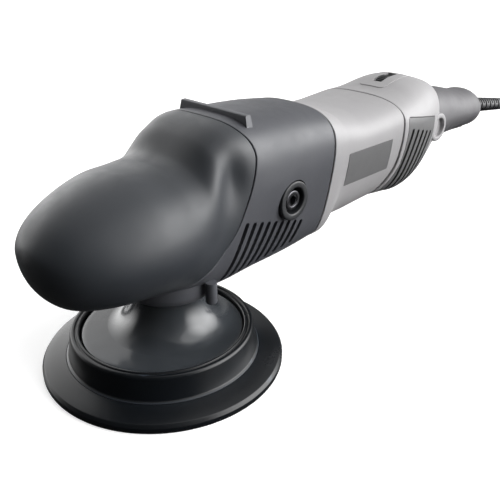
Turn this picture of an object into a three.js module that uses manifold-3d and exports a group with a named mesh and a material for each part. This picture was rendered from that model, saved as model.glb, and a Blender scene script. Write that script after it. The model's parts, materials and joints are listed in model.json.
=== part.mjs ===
// Dual action (random orbital) polisher with a 150 mm backing plate.
// Units are millimetres and +Z is up. The origin is the centre of the backing plate's working face,
// +Y runs along the tool towards the power cord and +X is the operator's left.
import * as THREE from 'three';
import { mergeVertices } from 'three/addons/utils/BufferGeometryUtils.js';
import Module from 'manifold-3d';

const wasm = await Module();
wasm.setup();

// ---------------------------------------------------------------- driving dimensions
const GAP = 0.3; // clearance between neighbouring pieces
const ORBIT_OFFSET = 7.5; // half of the 15 mm orbit
const MOTOR_AXIS_Z = 100; // height of the rotor axis above the pad face
const WALL = 3; // thickness of the casings
const HEAD_END = 120; // seam between gear housing and motor housing
const MOTOR_END = 204; // seam between motor housing and rear housing
const REAR_END = 275; // back of the rear housing
const HANDLE_END = 384; // where the strain relief leaves the handle
const RIM = 16; // points round a body section

const PAD = { radius: 76.9, topRadius: 75, tierFoot: 61.8, tierRim: 57.5, tierTop: 24.7 };
const DISC = { radius: 51.3, height: 22.3 };
const CROWN_TEETH = 37;
const PINION_TEETH = 9;
const GEAR_OUTER = 25.7; // outer cone distance of the bevel pair
const GEAR_FACE = 8; // tooth length along the cone
const FAN = { front: 96, depth: 11, radius: 29, blades: 7 };
const STATOR = { front: 134, back: 184, radius: 31.6, bore: 20.8 };
const COMMUTATOR = { front: 200, back: 218, radius: 13, bars: 12 };
const BRUSH_Y = 209;
const BRIDGE_Y = 222; // front face of the bridge that holds the rear bearing
const PORT = { y: 79, z: 95.5, ring: 13, bore: 8.6 };
const DIAL = { y: 236, z: 131.6, radius: 11.2, width: 7 };
const TRIGGER = { front: 287, back: 366, width: 17, hingeY: 292, hingeZ: 83.5 };
const LOCK = { y: 300, z: 97, radius: 5 };
const BAR = { half: 29.5, front: 47.5, back: 53, low: 146.3, high: 153.8 }; // hand stop bar
const CORD_RADIUS = 4.25;
const COIL = { x: 104, y: 486, inner: 29.5, outer: 64, height: 26 };
const RELIEF = { y: 376.6, z: 91.9, length: 88 };
const SPINDLE = [0, ORBIT_OFFSET, 0]; // axis of the output shaft
const ROTOR = [0, 0, MOTOR_AXIS_Z]; // axis of the motor
const PLUG = { x: COIL.x + COIL.outer - 4.5, y: COIL.y - 39.5, z: 12.8, neck: 24, body: 38 };
const DROOP = THREE.MathUtils.degToRad(10); // tilt of the strain relief

// ---------------------------------------------------------------- body sections along Y
// half: half width, foot: half width of the keel, top, bottom and mid: heights of the section,
// crown and keel: how square the upper and lower halves are.
const HEAD_STATIONS = [
  { y: -84, half: 7, foot: 7, top: 104, bottom: 91, mid: 98, crown: 2, keel: 2 },
  { y: -80, half: 19, foot: 19, top: 110, bottom: 79, mid: 97, crown: 2, keel: 2 },
  { y: -70, half: 31, foot: 30, top: 119, bottom: 68, mid: 95, crown: 2, keel: 2.1 },
  { y: -52, half: 41, foot: 38, top: 127.5, bottom: 62.5, mid: 94, crown: 2, keel: 2.2 },
  { y: -30, half: 46, foot: 41, top: 132.3, bottom: 60, mid: 95, crown: 2.15, keel: 2.4 },
  { y: -8, half: 46, foot: 39.5, top: 132.3, bottom: 56.5, mid: 96, crown: 2.35, keel: 2.8 },
  { y: 6, half: 43.5, foot: 38, top: 134, bottom: 51.5, mid: 100, crown: 2.7, keel: 3 },
  { y: 18, half: 40.8, foot: 36.5, top: 145.2, bottom: 48, mid: 105, crown: 3.6, keel: 3.3 },
  { y: 30, half: 41.3, foot: 35, top: 150.5, bottom: 47, mid: 110, crown: 3.8, keel: 3.8 },
  { y: 52, half: 42, foot: 32, top: 151, bottom: 47.5, mid: 115, crown: 3.1, keel: 4.6 },
  { y: 90, half: 41.5, foot: 31, top: 148.5, bottom: 47.5, mid: 118, crown: 2.9, keel: 5 },
  { y: HEAD_END, half: 40.3, foot: 30, top: 144.5, bottom: 48.5, mid: 118, crown: 2.8, keel: 5 },
];
const MOTOR_STATIONS = [
  { y: HEAD_END, half: 40.8, foot: 30.5, top: 144.5, bottom: 48.3, mid: 118, crown: 2.8, keel: 5 },
  { y: 129, half: 40.6, foot: 31, top: 141.5, bottom: 49.5, mid: 117.5, crown: 2.7, keel: 4.8 },
  { y: 136, half: 40.5, foot: 31.3, top: 138.5, bottom: 55.5, mid: 117, crown: 2.7, keel: 4 },
  { y: 158, half: 41, foot: 31.5, top: 135.4, bottom: 56.5, mid: 116, crown: 2.5, keel: 3.8 },
  { y: MOTOR_END, half: 41.8, foot: 32, top: 136, bottom: 58, mid: 116, crown: 2.8, keel: 3.8 },
];
const REAR_STATIONS = [
  { y: 190, half: 42.3, foot: 32.6, top: 136.4, bottom: 58, mid: 116, crown: 2.8, keel: 3.8 },
  { y: 208, half: 42.6, foot: 33.5, top: 136.6, bottom: 57, mid: 115.5, crown: 2.5, keel: 4.4 },
  { y: 220, half: 42.2, foot: 34, top: 138.5, bottom: 56, mid: 114, crown: 2.25, keel: 4.8 },
  { y: 234, half: 41.2, foot: 34, top: 141.5, bottom: 57, mid: 112, crown: 2.2, keel: 4.6 },
  { y: 248, half: 39.2, foot: 32.5, top: 141.8, bottom: 59.5, mid: 109.5, crown: 2.45, keel: 4 },
  { y: 260, half: 36.5, foot: 30, top: 139.5, bottom: 64, mid: 107, crown: 2.7, keel: 3.4 },
  { y: 270, half: 33, foot: 27.5, top: 136.5, bottom: 70, mid: 104, crown: 2.9, keel: 3 },
  { y: REAR_END, half: 30.5, foot: 25, top: 134.3, bottom: 75, mid: 102, crown: 2.9, keel: 2.6 },
];
const HANDLE_STATIONS = [
  { y: REAR_END + GAP, half: 27, foot: 24, top: 127, bottom: 75, mid: 101, crown: 2.3, keel: 2.2 },
  { y: 316, half: 24.5, foot: 22, top: 120.5, bottom: 76, mid: 98, crown: 2.2, keel: 2.1 },
  { y: 340, half: 22.5, foot: 21, top: 114.5, bottom: 76, mid: 95, crown: 2.1, keel: 2 },
  { y: 354, half: 21.5, foot: 20, top: 111.5, bottom: 75, mid: 93, crown: 2.1, keel: 2 },
  { y: 367, half: 21, foot: 19.5, top: 110.5, bottom: 74, mid: 92, crown: 2.1, keel: 2 },
  { y: 378, half: 18.5, foot: 17.5, top: 106.5, bottom: 73.8, mid: 90.5, crown: 2, keel: 2 },
  { y: HANDLE_END, half: 14.5, foot: 14, top: 101.5, bottom: 78, mid: 90, crown: 2, keel: 2 },
];
// The seam where the rubber hood meets the gear housing, as [y, z] seen from the side.
const HOOD_SEAM = [
  [36, 165], [38.5, 150], [42.5, 142], [43.8, 134], [42.8, 128], [40, 117], [35, 104], [28.5, 91],
  [18.5, 80], [6, 70.5], [-5, 66], [-18, 63.5], [-31, 61.5], [-34, 40],
];

// The seam between motor housing and rear housing.
const MOTOR_SEAM = [
  [199, 150], [200.5, 136], [201.5, 130], [202, 115], [203, 100], [202, 84], [198, 75], [194, 66],
  [190, 50],
];
// Outlines of the label plate and the side grille, as [y, z].
const BADGE = [
  [138.3, 87.1], [191.5, 86], [188.4, 110.3], [137.5, 111.6],
];
const GRILLE = [
  [207.5, 122.5], [254, 113.5], [255, 96], [248, 76], [240, 54], [200, 52], [200, 68], [204, 76],
  [208.3, 86], [209, 98],
];

// The free stretch of the cord: out of the strain relief, down to the floor and along it to the coil.
const CORD_ROUTE = [
  [0, 463.6, 76.5], [0, 474, 74.4], [0.8, 484, 70.5], [2.6, 493.5, 64], [5.5, 501.5, 55.5], [9.3, 508, 46],
  [14, 513.6, 36.5], [19.8, 518.2, 27.5], [26.6, 521.8, 19.5], [34, 524.6, 13], [41.5, 527.2, 8.8],
  [49, 529.7, 6.4],
];

// Bevel teeth, as [share of the pitch, height], where -1 is the root and +1 the tip.
const CROWN_CONE = Math.atan(CROWN_TEETH / PINION_TEETH);
const PITCH_ANGLE = Math.PI / CROWN_TEETH * Math.sin(CROWN_CONE); // half the pitch, from the apex
const PINION_PHASE = (2 * Math.PI) / PINION_TEETH / 4; // brings a tooth to face the crown gear
const CROWN_PROFILE = [[-0.36, -1], [-0.17, 1], [0.17, 1], [0.36, -1]];
const PINION_PROFILE = [[-0.3, -1], [-0.24, 0], [-0.11, 1], [0.11, 1], [0.24, 0], [0.3, -1]];

// ---------------------------------------------------------------- materials
function finish(color, roughness, metalness = 0) {
  return new THREE.MeshStandardMaterial({ color, roughness, metalness });
}
const MATERIALS = {
  hood: finish(0x3b3f45, 0.62),
  darkHousing: finish(0x4d4f55, 0.5),
  lightHousing: finish(0xa6a5a8, 0.5),
  handleRubber: finish(0x66666b, 0.6),
  trim: finish(0x6f6f74, 0.55),
  blackPlastic: finish(0x18191b, 0.45),
  padRubber: finish(0x191d22, 0.35),
  glossDisc: finish(0x4b4f56, 0.15),
  hookFace: finish(0x2a2a2c, 0.95),
  aluminium: finish(0xb4b6b8, 0.4, 0.9),
  steel: finish(0x9fa2a6, 0.3, 1),
  blackSteel: finish(0x26272a, 0.4, 0.8),
  brass: finish(0xb9923f, 0.35, 1),
  copper: finish(0xb1693a, 0.4, 1),
  carbon: finish(0x222224, 0.8),
  circuitBoard: finish(0x2b6b3b, 0.6),
  cordRubber: finish(0x1a1a1c, 0.55),
};

// ---------------------------------------------------------------- solids and booleans
function merged(geometry) {
  const bare = geometry.index ? geometry.toNonIndexed() : geometry.clone();
  bare.deleteAttribute('normal');
  bare.deleteAttribute('uv');
  return mergeVertices(bare, 1e-3);
}

function solidOf(geometry) {
  const mesh = merged(geometry);
  const triVerts = new Uint32Array(mesh.index.array);
  const vertProperties = mesh.attributes.position.array;
  const made = new wasm.Manifold(new wasm.Mesh({ numProp: 3, vertProperties, triVerts }));
  if (made.volume() >= 0) return made;
  for (let i = 0; i < triVerts.length; i += 3) {
    [triVerts[i + 1], triVerts[i + 2]] = [triVerts[i + 2], triVerts[i + 1]];
  }
  return new wasm.Manifold(new wasm.Mesh({ numProp: 3, vertProperties, triVerts }));
}

function geometryOf(solid) {
  const mesh = solid.getMesh();
  const geometry = new THREE.BufferGeometry();
  geometry.setAttribute('position', new THREE.BufferAttribute(new Float32Array(mesh.vertProperties), 3));
  geometry.setIndex(new THREE.BufferAttribute(new Uint32Array(mesh.triVerts), 1));
  geometry.computeVertexNormals();
  return geometry;
}

// A box between two corners.
function block(low, high) {
  const size = high.map((value, i) => value - low[i]);
  const middle = high.map((value, i) => (value + low[i]) / 2);
  return solidOf(new THREE.BoxGeometry(...size).translate(...middle));
}

// A cylinder from one point towards another along a main axis.
function rod(axis, radius, from, length, sides = 16) {
  const geometry = new THREE.CylinderGeometry(radius, radius, length, sides);
  geometry.translate(0, length / 2, 0);
  if (axis === 'z') geometry.rotateX(Math.PI / 2);
  if (axis === 'x') geometry.rotateZ(-Math.PI / 2);
  return solidOf(geometry.translate(...from));
}

// A solid of revolution. The profile lists [radius, height] and is closed on itself or on the axis.
function turned(axis, profile, at = [0, 0, 0], sides = 20) {
  const onAxis = profile[0][0] === 0 && profile[profile.length - 1][0] === 0;
  const points = profile.map(([radius, height]) => new THREE.Vector2(radius, height));
  if (!onAxis) points.push(points[0].clone());
  const geometry = new THREE.LatheGeometry(points, sides);
  if (axis === 'z') geometry.rotateX(Math.PI / 2);
  return solidOf(geometry.translate(...at));
}

// A straight-sided ring or washer.
function ring(axis, inner, outer, from, length, sides = 16) {
  const offset = axis === 'z' ? from[2] : from[1];
  const at = axis === 'z' ? [from[0], from[1], 0] : [from[0], 0, from[2]];
  const profile = [[inner, offset], [outer, offset], [outer, offset + length], [inner, offset + length]];
  return turned(axis, profile, at, sides);
}

// An outline in the YZ plane, extruded across X from low to high.
function sideways(outline, low, high) {
  const shape = new THREE.Shape(outline.map(([y, z]) => new THREE.Vector2(y, z)));
  const geometry = new THREE.ExtrudeGeometry(shape, { depth: high - low, bevelEnabled: false });
  geometry.applyMatrix4(new THREE.Matrix4().set(0, 0, 1, low, 1, 0, 0, 0, 0, 1, 0, 0, 0, 0, 0, 1));
  return solidOf(geometry);
}

function smoothPoints(points, steps) {
  const knots = points.map(([a, b, c = 0]) => new THREE.Vector3(a, b, c));
  const curve = new THREE.CatmullRomCurve3(knots, false, 'centripetal');
  return curve.getPoints(steps);
}

function mirrored(solid) {
  return solid.mirror([1, 0, 0]);
}

// ---------------------------------------------------------------- lofted body skins
// Each field of the stations is carried along Y by a smooth cubic through the stations.
function sectionAt(stations, y) {
  let i = 0;
  while (i < stations.length - 2 && y > stations[i + 1].y) i += 1;
  const [p0, p1] = [stations[i], stations[i + 1]];
  const before = stations[Math.max(i - 1, 0)];
  const after = stations[Math.min(i + 2, stations.length - 1)];
  const span = p1.y - p0.y;
  const t = THREE.MathUtils.clamp((y - p0.y) / span, 0, 1);
  const section = { y };
  for (const field of ['half', 'foot', 'top', 'bottom', 'mid', 'crown', 'keel']) {
    const m0 = (p1[field] - before[field]) / (p1.y - before.y);
    const m1 = (after[field] - p0[field]) / (after.y - p0.y);
    section[field] = (2 * t ** 3 - 3 * t ** 2 + 1) * p0[field] + (t ** 3 - 2 * t ** 2 + t) * span * m0
      + (3 * t ** 2 - 2 * t ** 3) * p1[field] + (t ** 3 - t ** 2) * span * m1;
  }
  return section;
}

// The outline of one section, grown outwards by `grow`.
function rimPoints(section, grow) {
  const points = [];
  for (let i = 0; i < RIM; i += 1) {
    const angle = (2 * Math.PI * i) / RIM;
    const [c, s] = [Math.cos(angle), Math.sin(angle)];
    const power = 2 / (s >= 0 ? section.crown : section.keel);
    const across = Math.sign(c) * Math.abs(c) ** power;
    const height = Math.abs(s) ** power;
    const foot = s >= 0 ? section.half : section.foot;
    const width = section.half + (foot - section.half) * height + grow;
    const reach = s >= 0 ? section.top - section.mid + grow : section.bottom - section.mid - grow;
    points.push(new THREE.Vector3(width * across, section.y, section.mid + reach * height));
  }
  return points;
}

// A closed skin through the stations from y = from to y = to, in about `rings` sections.
function skin(stations, from, to, grow = 0, rings = 10) {
  const marks = [from, ...stations.map((station) => station.y).filter((y) => y > from && y < to), to];
  const ys = [from];
  for (let i = 1; i < marks.length; i += 1) {
    const gap = marks[i] - marks[i - 1];
    const pieces = Math.max(1, Math.round((gap * rings) / (to - from)));
    for (let j = 1; j <= pieces; j += 1) ys.push(marks[i - 1] + (gap * j) / pieces);
  }
  const positions = [];
  const index = [];
  ys.forEach((y, row) => {
    rimPoints(sectionAt(stations, y), grow).forEach((point) => positions.push(...point.toArray()));
    if (row === 0) return;
    for (let i = 0; i < RIM; i += 1) {
      const [a, b] = [(row - 1) * RIM + i, (row - 1) * RIM + ((i + 1) % RIM)];
      index.push(a, a + RIM, b, b, a + RIM, b + RIM);
    }
  });
  for (const [row, order] of [[0, [1, 2]], [ys.length - 1, [2, 1]]]) {
    const centre = positions.length / 3;
    positions.push(0, ys[row], sectionAt(stations, ys[row]).mid);
    for (let i = 0; i < RIM; i += 1) {
      const edge = [row * RIM + i, row * RIM + ((i + 1) % RIM)];
      index.push(centre, edge[order[0] - 1], edge[order[1] - 1]);
    }
  }
  const geometry = new THREE.BufferGeometry();
  geometry.setAttribute('position', new THREE.Float32BufferAttribute(positions, 3));
  geometry.setIndex(index);
  return solidOf(geometry);
}

// A casing: the skin less the same skin drawn in by the wall.
function casing(stations, from, to, rings, closed = {}) {
  const inner = skin(stations, from + (closed.front ?? -1), to - (closed.back ?? -1), -WALL, rings);
  return skin(stations, from, to, 0, rings).subtract(inner);
}

// A flush insert in a casing: the part of the skin inside `cutter`, from `depth` below to `proud` above.
function insert(stations, cutter, from, to, depth, proud) {
  const outer = skin(stations, from, to, proud, 3);
  const inner = skin(stations, from - 1, to + 1, -depth, 3);
  return outer.subtract(inner).intersect(cutter);
}

// ---------------------------------------------------------------- assembly list
const polisher = new THREE.Group();

function add(name, solid, material) {
  const mesh = new THREE.Mesh(geometryOf(solid), material);
  mesh.name = name;
  polisher.add(mesh);
}

function addPair(name, solid, material) {
  add(`${name}_left`, solid, material);
  add(`${name}_right`, mirrored(solid), material);
}

// ---------------------------------------------------------------- backing plate
function hookFace() {
  return turned('z', [[0, 0], [74, 0], [74, 1.6], [0, 1.6]], undefined, 32);
}

function rubberBase() {
  const low = 1.6 + GAP;
  const profile = [
    [0, low], [74 + GAP, low], [74 + GAP, 0], [PAD.radius, 0], [PAD.radius, 2.5], [PAD.topRadius, 6.2],
    [PAD.tierFoot + 1, 8.6], [PAD.tierFoot, 8.6], [PAD.tierFoot - 2, 7], [0, 7],
  ];
  return turned('z', profile, undefined, 32);
}

function backingPlate() {
  const rimInner = DISC.radius + GAP;
  const profile = [
    [0, 7 + GAP], [PAD.tierFoot - 2.6, 7 + GAP], [PAD.tierFoot - 1, 9], [PAD.tierRim, PAD.tierTop],
    [rimInner + 2, PAD.tierTop], [rimInner, DISC.height + 0.6], [rimInner, 17], [20, 15], [20, 12], [0, 12],
  ];
  return turned('z', profile, undefined, 32);
}

function hubDisc() {
  const profile = [
    [4 + GAP, 12 + GAP], [19.7, 12 + GAP], [19.7, 15 + GAP], [30, 19], [DISC.radius, 19.5],
    [DISC.radius, DISC.height], [14.5, DISC.height + 0.7], [12.5, 28], [12, 39.5], [4 + GAP, 39.5],
  ];
  return turned('z', profile, undefined, 28);
}

function padSpindle() {
  const foot = 12 + 2 * GAP;
  const profile = [[0, foot], [4, foot], [4, 39.8], [8, 39.8], [8, 45], [4, 45], [4, 54], [0, 54]];
  return turned('z', profile, undefined, 20);
}

// ---------------------------------------------------------------- eccentric drive, on the spindle axis
function padBearing() {
  return ring('z', 4 + GAP, 11, [0, 0, 46.3], 7.7, 20);
}

function outputShaft() {
  const shaft = turned('z', [
    [0, 55], [11, 55], [11, 57], [7.5, 57], [7.5, 78], [5, 78], [5, 108.5], [3.7, 108.5], [3.7, 116],
    [0, 116],
  ], SPINDLE, 24);
  const boss = rod('z', 13.6, [0, 0, 46.3], 10.7, 16).add(rod('z', 11, [0, ORBIT_OFFSET, 46.3], 10.7, 16));
  const pocket = rod('z', 11 + GAP, [0, 0, 40], 14.3, 20);
  return boss.add(shaft).subtract(pocket);
}

function counterweight() {
  const band = ring('z', 11 + GAP, 21, [0, ORBIT_OFFSET, 46.6], 10, 24);
  const half = block([-30, ORBIT_OFFSET + 4, 40], [30, 40, 60]);
  return band.intersect(half);
}

function spindleBearings() {
  add('spindle_bearing_lower', ring('z', 7.5 + GAP, 16, [0, ORBIT_OFFSET, 57.7], 8, 20), MATERIALS.steel);
  add('spindle_bearing_upper', ring('z', 3.7 + GAP, 10, [0, ORBIT_OFFSET, 109], 7, 20), MATERIALS.steel);
}

// A bevel gear with its apex at the origin, opening towards +Z, with a plain bore and back;
// back lists the [radius, height] of the rings that close it, from the front of the bore round to the rim.
function bevelGear({ teeth, coneAngle, addendum, dedendum, profile, back }) {
  const ring = (count, point) => Array.from({ length: count }, (_, i) => point(i));
  const toothRing = (distance) => ring(teeth * profile.length, (i) => {
    const [across, height] = profile[i % profile.length];
    const cone = coneAngle + (height > 0 ? height * addendum : height * dedendum);
    const turn = (2 * Math.PI * (Math.floor(i / profile.length) + across)) / teeth;
    const radius = distance * Math.sin(cone);
    return [radius * Math.cos(turn), radius * Math.sin(turn), distance * Math.cos(cone)];
  });
  const plainRing = ([radius, height]) => ring(teeth, (i) => {
    const turn = (2 * Math.PI * i) / teeth;
    return [radius * Math.cos(turn), radius * Math.sin(turn), height];
  });
  const rings = [toothRing(GEAR_OUTER), toothRing(GEAR_OUTER - GEAR_FACE), ...back.map(plainRing)];
  const starts = rings.map((_, k) => rings.slice(0, k).reduce((sum, points) => sum + points.length, 0));
  const index = [];
  rings.forEach((points, k) => {
    const next = (k + 1) % rings.length;
    const most = Math.max(points.length, rings[next].length);
    const at = (row, i) => starts[row] + Math.round((i * rings[row].length) / most) % rings[row].length;
    for (let i = 0; i < most; i += 1) {
      const [a, b, c, d] = [at(k, i), at(k, i + 1), at(next, i), at(next, i + 1)];
      if (a !== b) index.push(a, b, c);
      if (c !== d) index.push(b, d, c);
    }
  });
  const geometry = new THREE.BufferGeometry();
  geometry.setAttribute('position', new THREE.Float32BufferAttribute(rings.flat(2), 3));
  geometry.setIndex(index);
  return geometry;
}

function crownGear() {
  const bore = 5 + GAP;
  const geometry = bevelGear({
    teeth: CROWN_TEETH, coneAngle: CROWN_CONE, addendum: 0.38 * PITCH_ANGLE, dedendum: 0.72 * PITCH_ANGLE,
    profile: CROWN_PROFILE, back: [[bore, 5.5], [bore, 21], [10, 21], [11, 14], [21, 12]],
  });
  geometry.rotateX(Math.PI).rotateZ(Math.PI / 2 + Math.PI / CROWN_TEETH);
  return solidOf(geometry.translate(0, ORBIT_OFFSET, MOTOR_AXIS_Z));
}

function pinionGear() {
  const bore = 2.3 + GAP;
  const geometry = bevelGear({
    teeth: PINION_TEETH, coneAngle: Math.PI / 2 - CROWN_CONE, addendum: 0.5 * PITCH_ANGLE,
    dedendum: 0.5 * PITCH_ANGLE, profile: PINION_PROFILE,
    back: [[bore, GEAR_OUTER - GEAR_FACE], [bore, 28], [4.8, 28]],
  });
  geometry.rotateX(-Math.PI / 2).rotateY(PINION_PHASE);
  return solidOf(geometry.translate(0, ORBIT_OFFSET, MOTOR_AXIS_Z));
}

// ---------------------------------------------------------------- gear head
// Everything behind a seam that is seen from the side as [y, z] points, moved back by `shift`.
function behindSeam(seam, shift = 0) {
  const edge = smoothPoints(seam, 18).map((point) => [point.x + shift, point.y]);
  return sideways([...edge, [600, edge[edge.length - 1][1]], [600, edge[0][1]]], -70, 70);
}

function snoutOpening() {
  return rod('z', 30.2, [0, ORBIT_OFFSET, 40], 30, 24);
}

function headCover() {
  return casing(HEAD_STATIONS, -84, 60, 9, { front: 4 })
    .subtract(behindSeam(HOOD_SEAM)).subtract(snoutOpening());
}

// Nine slanted cooling slots low on the side.
function coolingSlots() {
  const slots = [];
  for (let i = 0; i < 9; i += 1) {
    const [y, z] = [35.7 + 7.05 * i, 93 - 2.18 * i];
    const bottom = 57.5 + 0.5 * i;
    const lean = 0.34 * (bottom - z);
    slots.push(sideways([[y, z], [y + 2.8, z], [y + 2.8 + lean, bottom], [y + lean, bottom]], 12, 60));
  }
  return slots.reduce((all, slot) => all.add(slot));
}

// Three screw lugs that hang below the housing around the snout.
function screwLugs() {
  const lugs = [7, 128, 248].map((degrees) => {
    const angle = THREE.MathUtils.degToRad(degrees);
    return rod('z', 3.8, [34.3 * Math.cos(angle), ORBIT_OFFSET + 34.3 * Math.sin(angle), 46.5], 22, 12);
  });
  return lugs.reduce((all, lug) => all.add(lug)).subtract(skin(HEAD_STATIONS, -40, 60, -WALL, 5));
}

function handStopBlock(grow) {
  const half = BAR.half + grow;
  return block([-half, BAR.front - grow, BAR.low - grow], [half, BAR.back + grow, BAR.high + grow]);
}

function handStopBar() {
  return handStopBlock(0).subtract(skin(HEAD_STATIONS, 30, 70, -1.2, 3));
}

function gearHousing() {
  const bothSides = (solid) => solid.add(mirrored(solid));
  const barSeat = handStopBlock(GAP).subtract(skin(HEAD_STATIONS, 30, 70, -1.2 - GAP, 3));
  return casing(HEAD_STATIONS, -40, HEAD_END - GAP, 8)
    .add(screwLugs())
    .intersect(behindSeam(HOOD_SEAM, 0.8))
    .subtract(snoutOpening())
    .subtract(barSeat)
    .subtract(bothSides(rod('x', PORT.ring + GAP, [20, PORT.y, PORT.z], 40, 24)))
    .subtract(bothSides(coolingSlots()));
}

function portRing() {
  const outer = rod('x', PORT.ring, [30, PORT.y, PORT.z], 11.6, 24);
  const counterbore = rod('x', PORT.bore, [34, PORT.y, PORT.z], 20, 16);
  const hole = rod('x', 4 + GAP, [20, PORT.y, PORT.z], 20, 10);
  return outer.subtract(counterbore).subtract(hole);
}

function portScrew() {
  const head = rod('x', 6.5, [34 + GAP, PORT.y, PORT.z], 5.6, 16);
  const shank = rod('x', 4, [24, PORT.y, PORT.z], 11, 8);
  const socket = rod('x', 3.4, [36.5, PORT.y, PORT.z], 10, 6);
  return head.add(shank).subtract(socket);
}

function gearCase() {
  const outside = [[0, 66], [28.5, 66], [29.8, 69], [32.5, 79], [32.5, 100], [19, 121.5], [0, 121.5]];
  const inside = [[0, 60], [26.2, 60], [26.2, 72], [28.5, 84], [28.5, 98], [24, 104], [0, 104]];
  const bell = turned('z', outside, SPINDLE, 20);
  return bell.add(rod('y', 20, [0, 30, MOTOR_AXIS_Z], 32, 16))
    .subtract(turned('z', inside, SPINDLE, 20))
    .subtract(rod('z', 10 + GAP, [0, ORBIT_OFFSET, 100], 16.5, 20))
    .subtract(rod('y', 9, [0, 20, MOTOR_AXIS_Z], 30, 16))
    .subtract(rod('y', 13 + GAP, [0, 43.5, MOTOR_AXIS_Z], 30, 20));
}

function snout() {
  return turned('z', [
    [22, 49], [27.6, 49], [29, 50.2], [29.8, 52.5], [29.8, 60], [28.5, 62], [28.5, 65.7], [16 + GAP, 65.7],
    [16 + GAP, 57.4], [22, 57.4],
  ], SPINDLE, 24);
}

function spinShroud() {
  const profile = [
    [22.4, 23.8], [38, 23], [38, 23.6], [31, 25.8], [26.8, 30], [24.6, 37], [24.2, 48.7], [22.4, 48.7],
  ];
  return turned('z', profile, SPINDLE, 24);
}

// ---------------------------------------------------------------- motor, on the rotor axis
function rotorShaft() {
  return turned('y', [
    [0, 24.5], [2.3, 24.5], [2.3, 36.5], [5, 36.5], [5, 52.4], [6, 52.4], [6, 222], [3.5, 222],
    [3.5, 232], [0, 232],
  ], ROTOR, 16);
}

function fan() {
  const back = FAN.front + FAN.depth;
  const hub = ring('y', 6 + GAP, 10, [0, FAN.front, MOTOR_AXIS_Z], FAN.depth, 24);
  const disc = ring('y', 9, FAN.radius, [0, back - 2, MOTOR_AXIS_Z], 2, 36);
  let wheel = hub.add(disc);
  for (let i = 0; i < FAN.blades; i += 1) {
    const blade = block([8, FAN.front, -0.8], [FAN.radius - 1, back - 1, 0.8]);
    const turnedBlade = blade.rotate([0, (360 * i) / FAN.blades, 0]).translate(ROTOR);
    wheel = wheel.add(turnedBlade);
  }
  return wheel.subtract(rod('y', 6 + GAP, [0, FAN.front - 5, MOTOR_AXIS_Z], 30, 24));
}

function fanBaffle() {
  const plate = skin(HEAD_STATIONS, 110, 113, -WALL - GAP, 1);
  return plate.subtract(rod('y', 22, [0, 100, MOTOR_AXIS_Z], 30, 28));
}

function statorCore() {
  const length = STATOR.back - STATOR.front;
  return ring('y', STATOR.bore, STATOR.radius, [0, STATOR.front, MOTOR_AXIS_Z], length, 24);
}

function fieldCoil(from) {
  return turned('y', [[22, from], [29, from], [30, from + 3.5], [29, from + 7], [22, from + 7]], ROTOR, 20);
}

function armatureCore() {
  const length = STATOR.back - STATOR.front;
  const slots = 12;
  const outline = new THREE.Shape();
  for (let i = 0; i < slots; i += 1) {
    for (const [radius, part] of [[19.8, 0.06], [19.8, 0.94], [15, 0.97], [15, 1.03]]) {
      const angle = (2 * Math.PI * (i + part)) / slots;
      const [x, y] = [radius * Math.cos(angle), radius * Math.sin(angle)];
      if (i === 0 && part === 0.06) outline.moveTo(x, y);
      else outline.lineTo(x, y);
    }
  }
  const geometry = new THREE.ExtrudeGeometry(outline, { depth: length, bevelEnabled: false });
  geometry.rotateX(-Math.PI / 2).translate(0, STATOR.front, MOTOR_AXIS_Z);
  const bore = rod('y', 6 + GAP, [0, STATOR.front - 5, MOTOR_AXIS_Z], length + 10, 16);
  return solidOf(geometry).subtract(bore);
}

function armatureWinding(from) {
  const [bore, back] = [6 + GAP, from + 7.5];
  return turned('y', [[bore, from], [14, from], [17.5, from + 3.5], [14, back], [bore, back]], ROTOR, 16);
}

function commutator() {
  const drum = ring('y', 6 + GAP, COMMUTATOR.radius, [0, COMMUTATOR.front, MOTOR_AXIS_Z],
    COMMUTATOR.back - COMMUTATOR.front, 24);
  let cut = drum;
  for (let i = 0; i < COMMUTATOR.bars / 2; i += 1) {
    const saw = block([-30, COMMUTATOR.front + 3, -0.4], [30, COMMUTATOR.back + 5, 0.4])
      .subtract(rod('y', 11.6, [0, COMMUTATOR.front, 0], 40, 16));
    cut = cut.subtract(saw.rotate([0, (360 * (i + 0.25)) / COMMUTATOR.bars, 0]).translate(ROTOR));
  }
  return cut;
}

function rearBridge() {
  const plate = block([-32, BRIDGE_Y, 86], [32, BRIDGE_Y + 5, 114])
    .add(rod('y', 15, [0, BRIDGE_Y, MOTOR_AXIS_Z], 12, 28));
  return plate
    .subtract(rod('y', 11 + GAP, [0, BRIDGE_Y + 2.7, MOTOR_AXIS_Z], 20, 28))
    .subtract(rod('y', 6 + GAP, [0, BRIDGE_Y - 5, MOTOR_AXIS_Z], 20, 16));
}

function brushBlock(from, to, grow = 0) {
  const [wide, high] = [5 + grow, 3.5 + grow];
  return block([from, BRUSH_Y - wide, MOTOR_AXIS_Z - high], [to, BRUSH_Y + wide, MOTOR_AXIS_Z + high]);
}

function brushHolder() {
  const [y0, y1] = [BRUSH_Y - 6.5, BRUSH_Y + 6.5];
  const tube = block([15, y0, MOTOR_AXIS_Z - 5.5], [33, y1, MOTOR_AXIS_Z + 5.5]);
  const foot = block([18, y1 - 1, MOTOR_AXIS_Z - 5.5], [30, BRIDGE_Y - GAP, MOTOR_AXIS_Z - 2.5]);
  return tube.add(foot).subtract(brushBlock(10, 40, GAP));
}

function carbonBrush() {
  return brushBlock(COMMUTATOR.radius + GAP, 29);
}

// ---------------------------------------------------------------- motor and rear casings
function grown(outline, by) {
  const mean = (axis) => outline.reduce((sum, point) => sum + point[axis], 0) / outline.length;
  const middle = [mean(0), mean(1)];
  return outline.map(([y, z]) => {
    const [dy, dz] = [y - middle[0], z - middle[1]];
    const scale = 1 + by / Math.hypot(dy, dz);
    return [middle[0] + dy * scale, middle[1] + dz * scale];
  });
}

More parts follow.
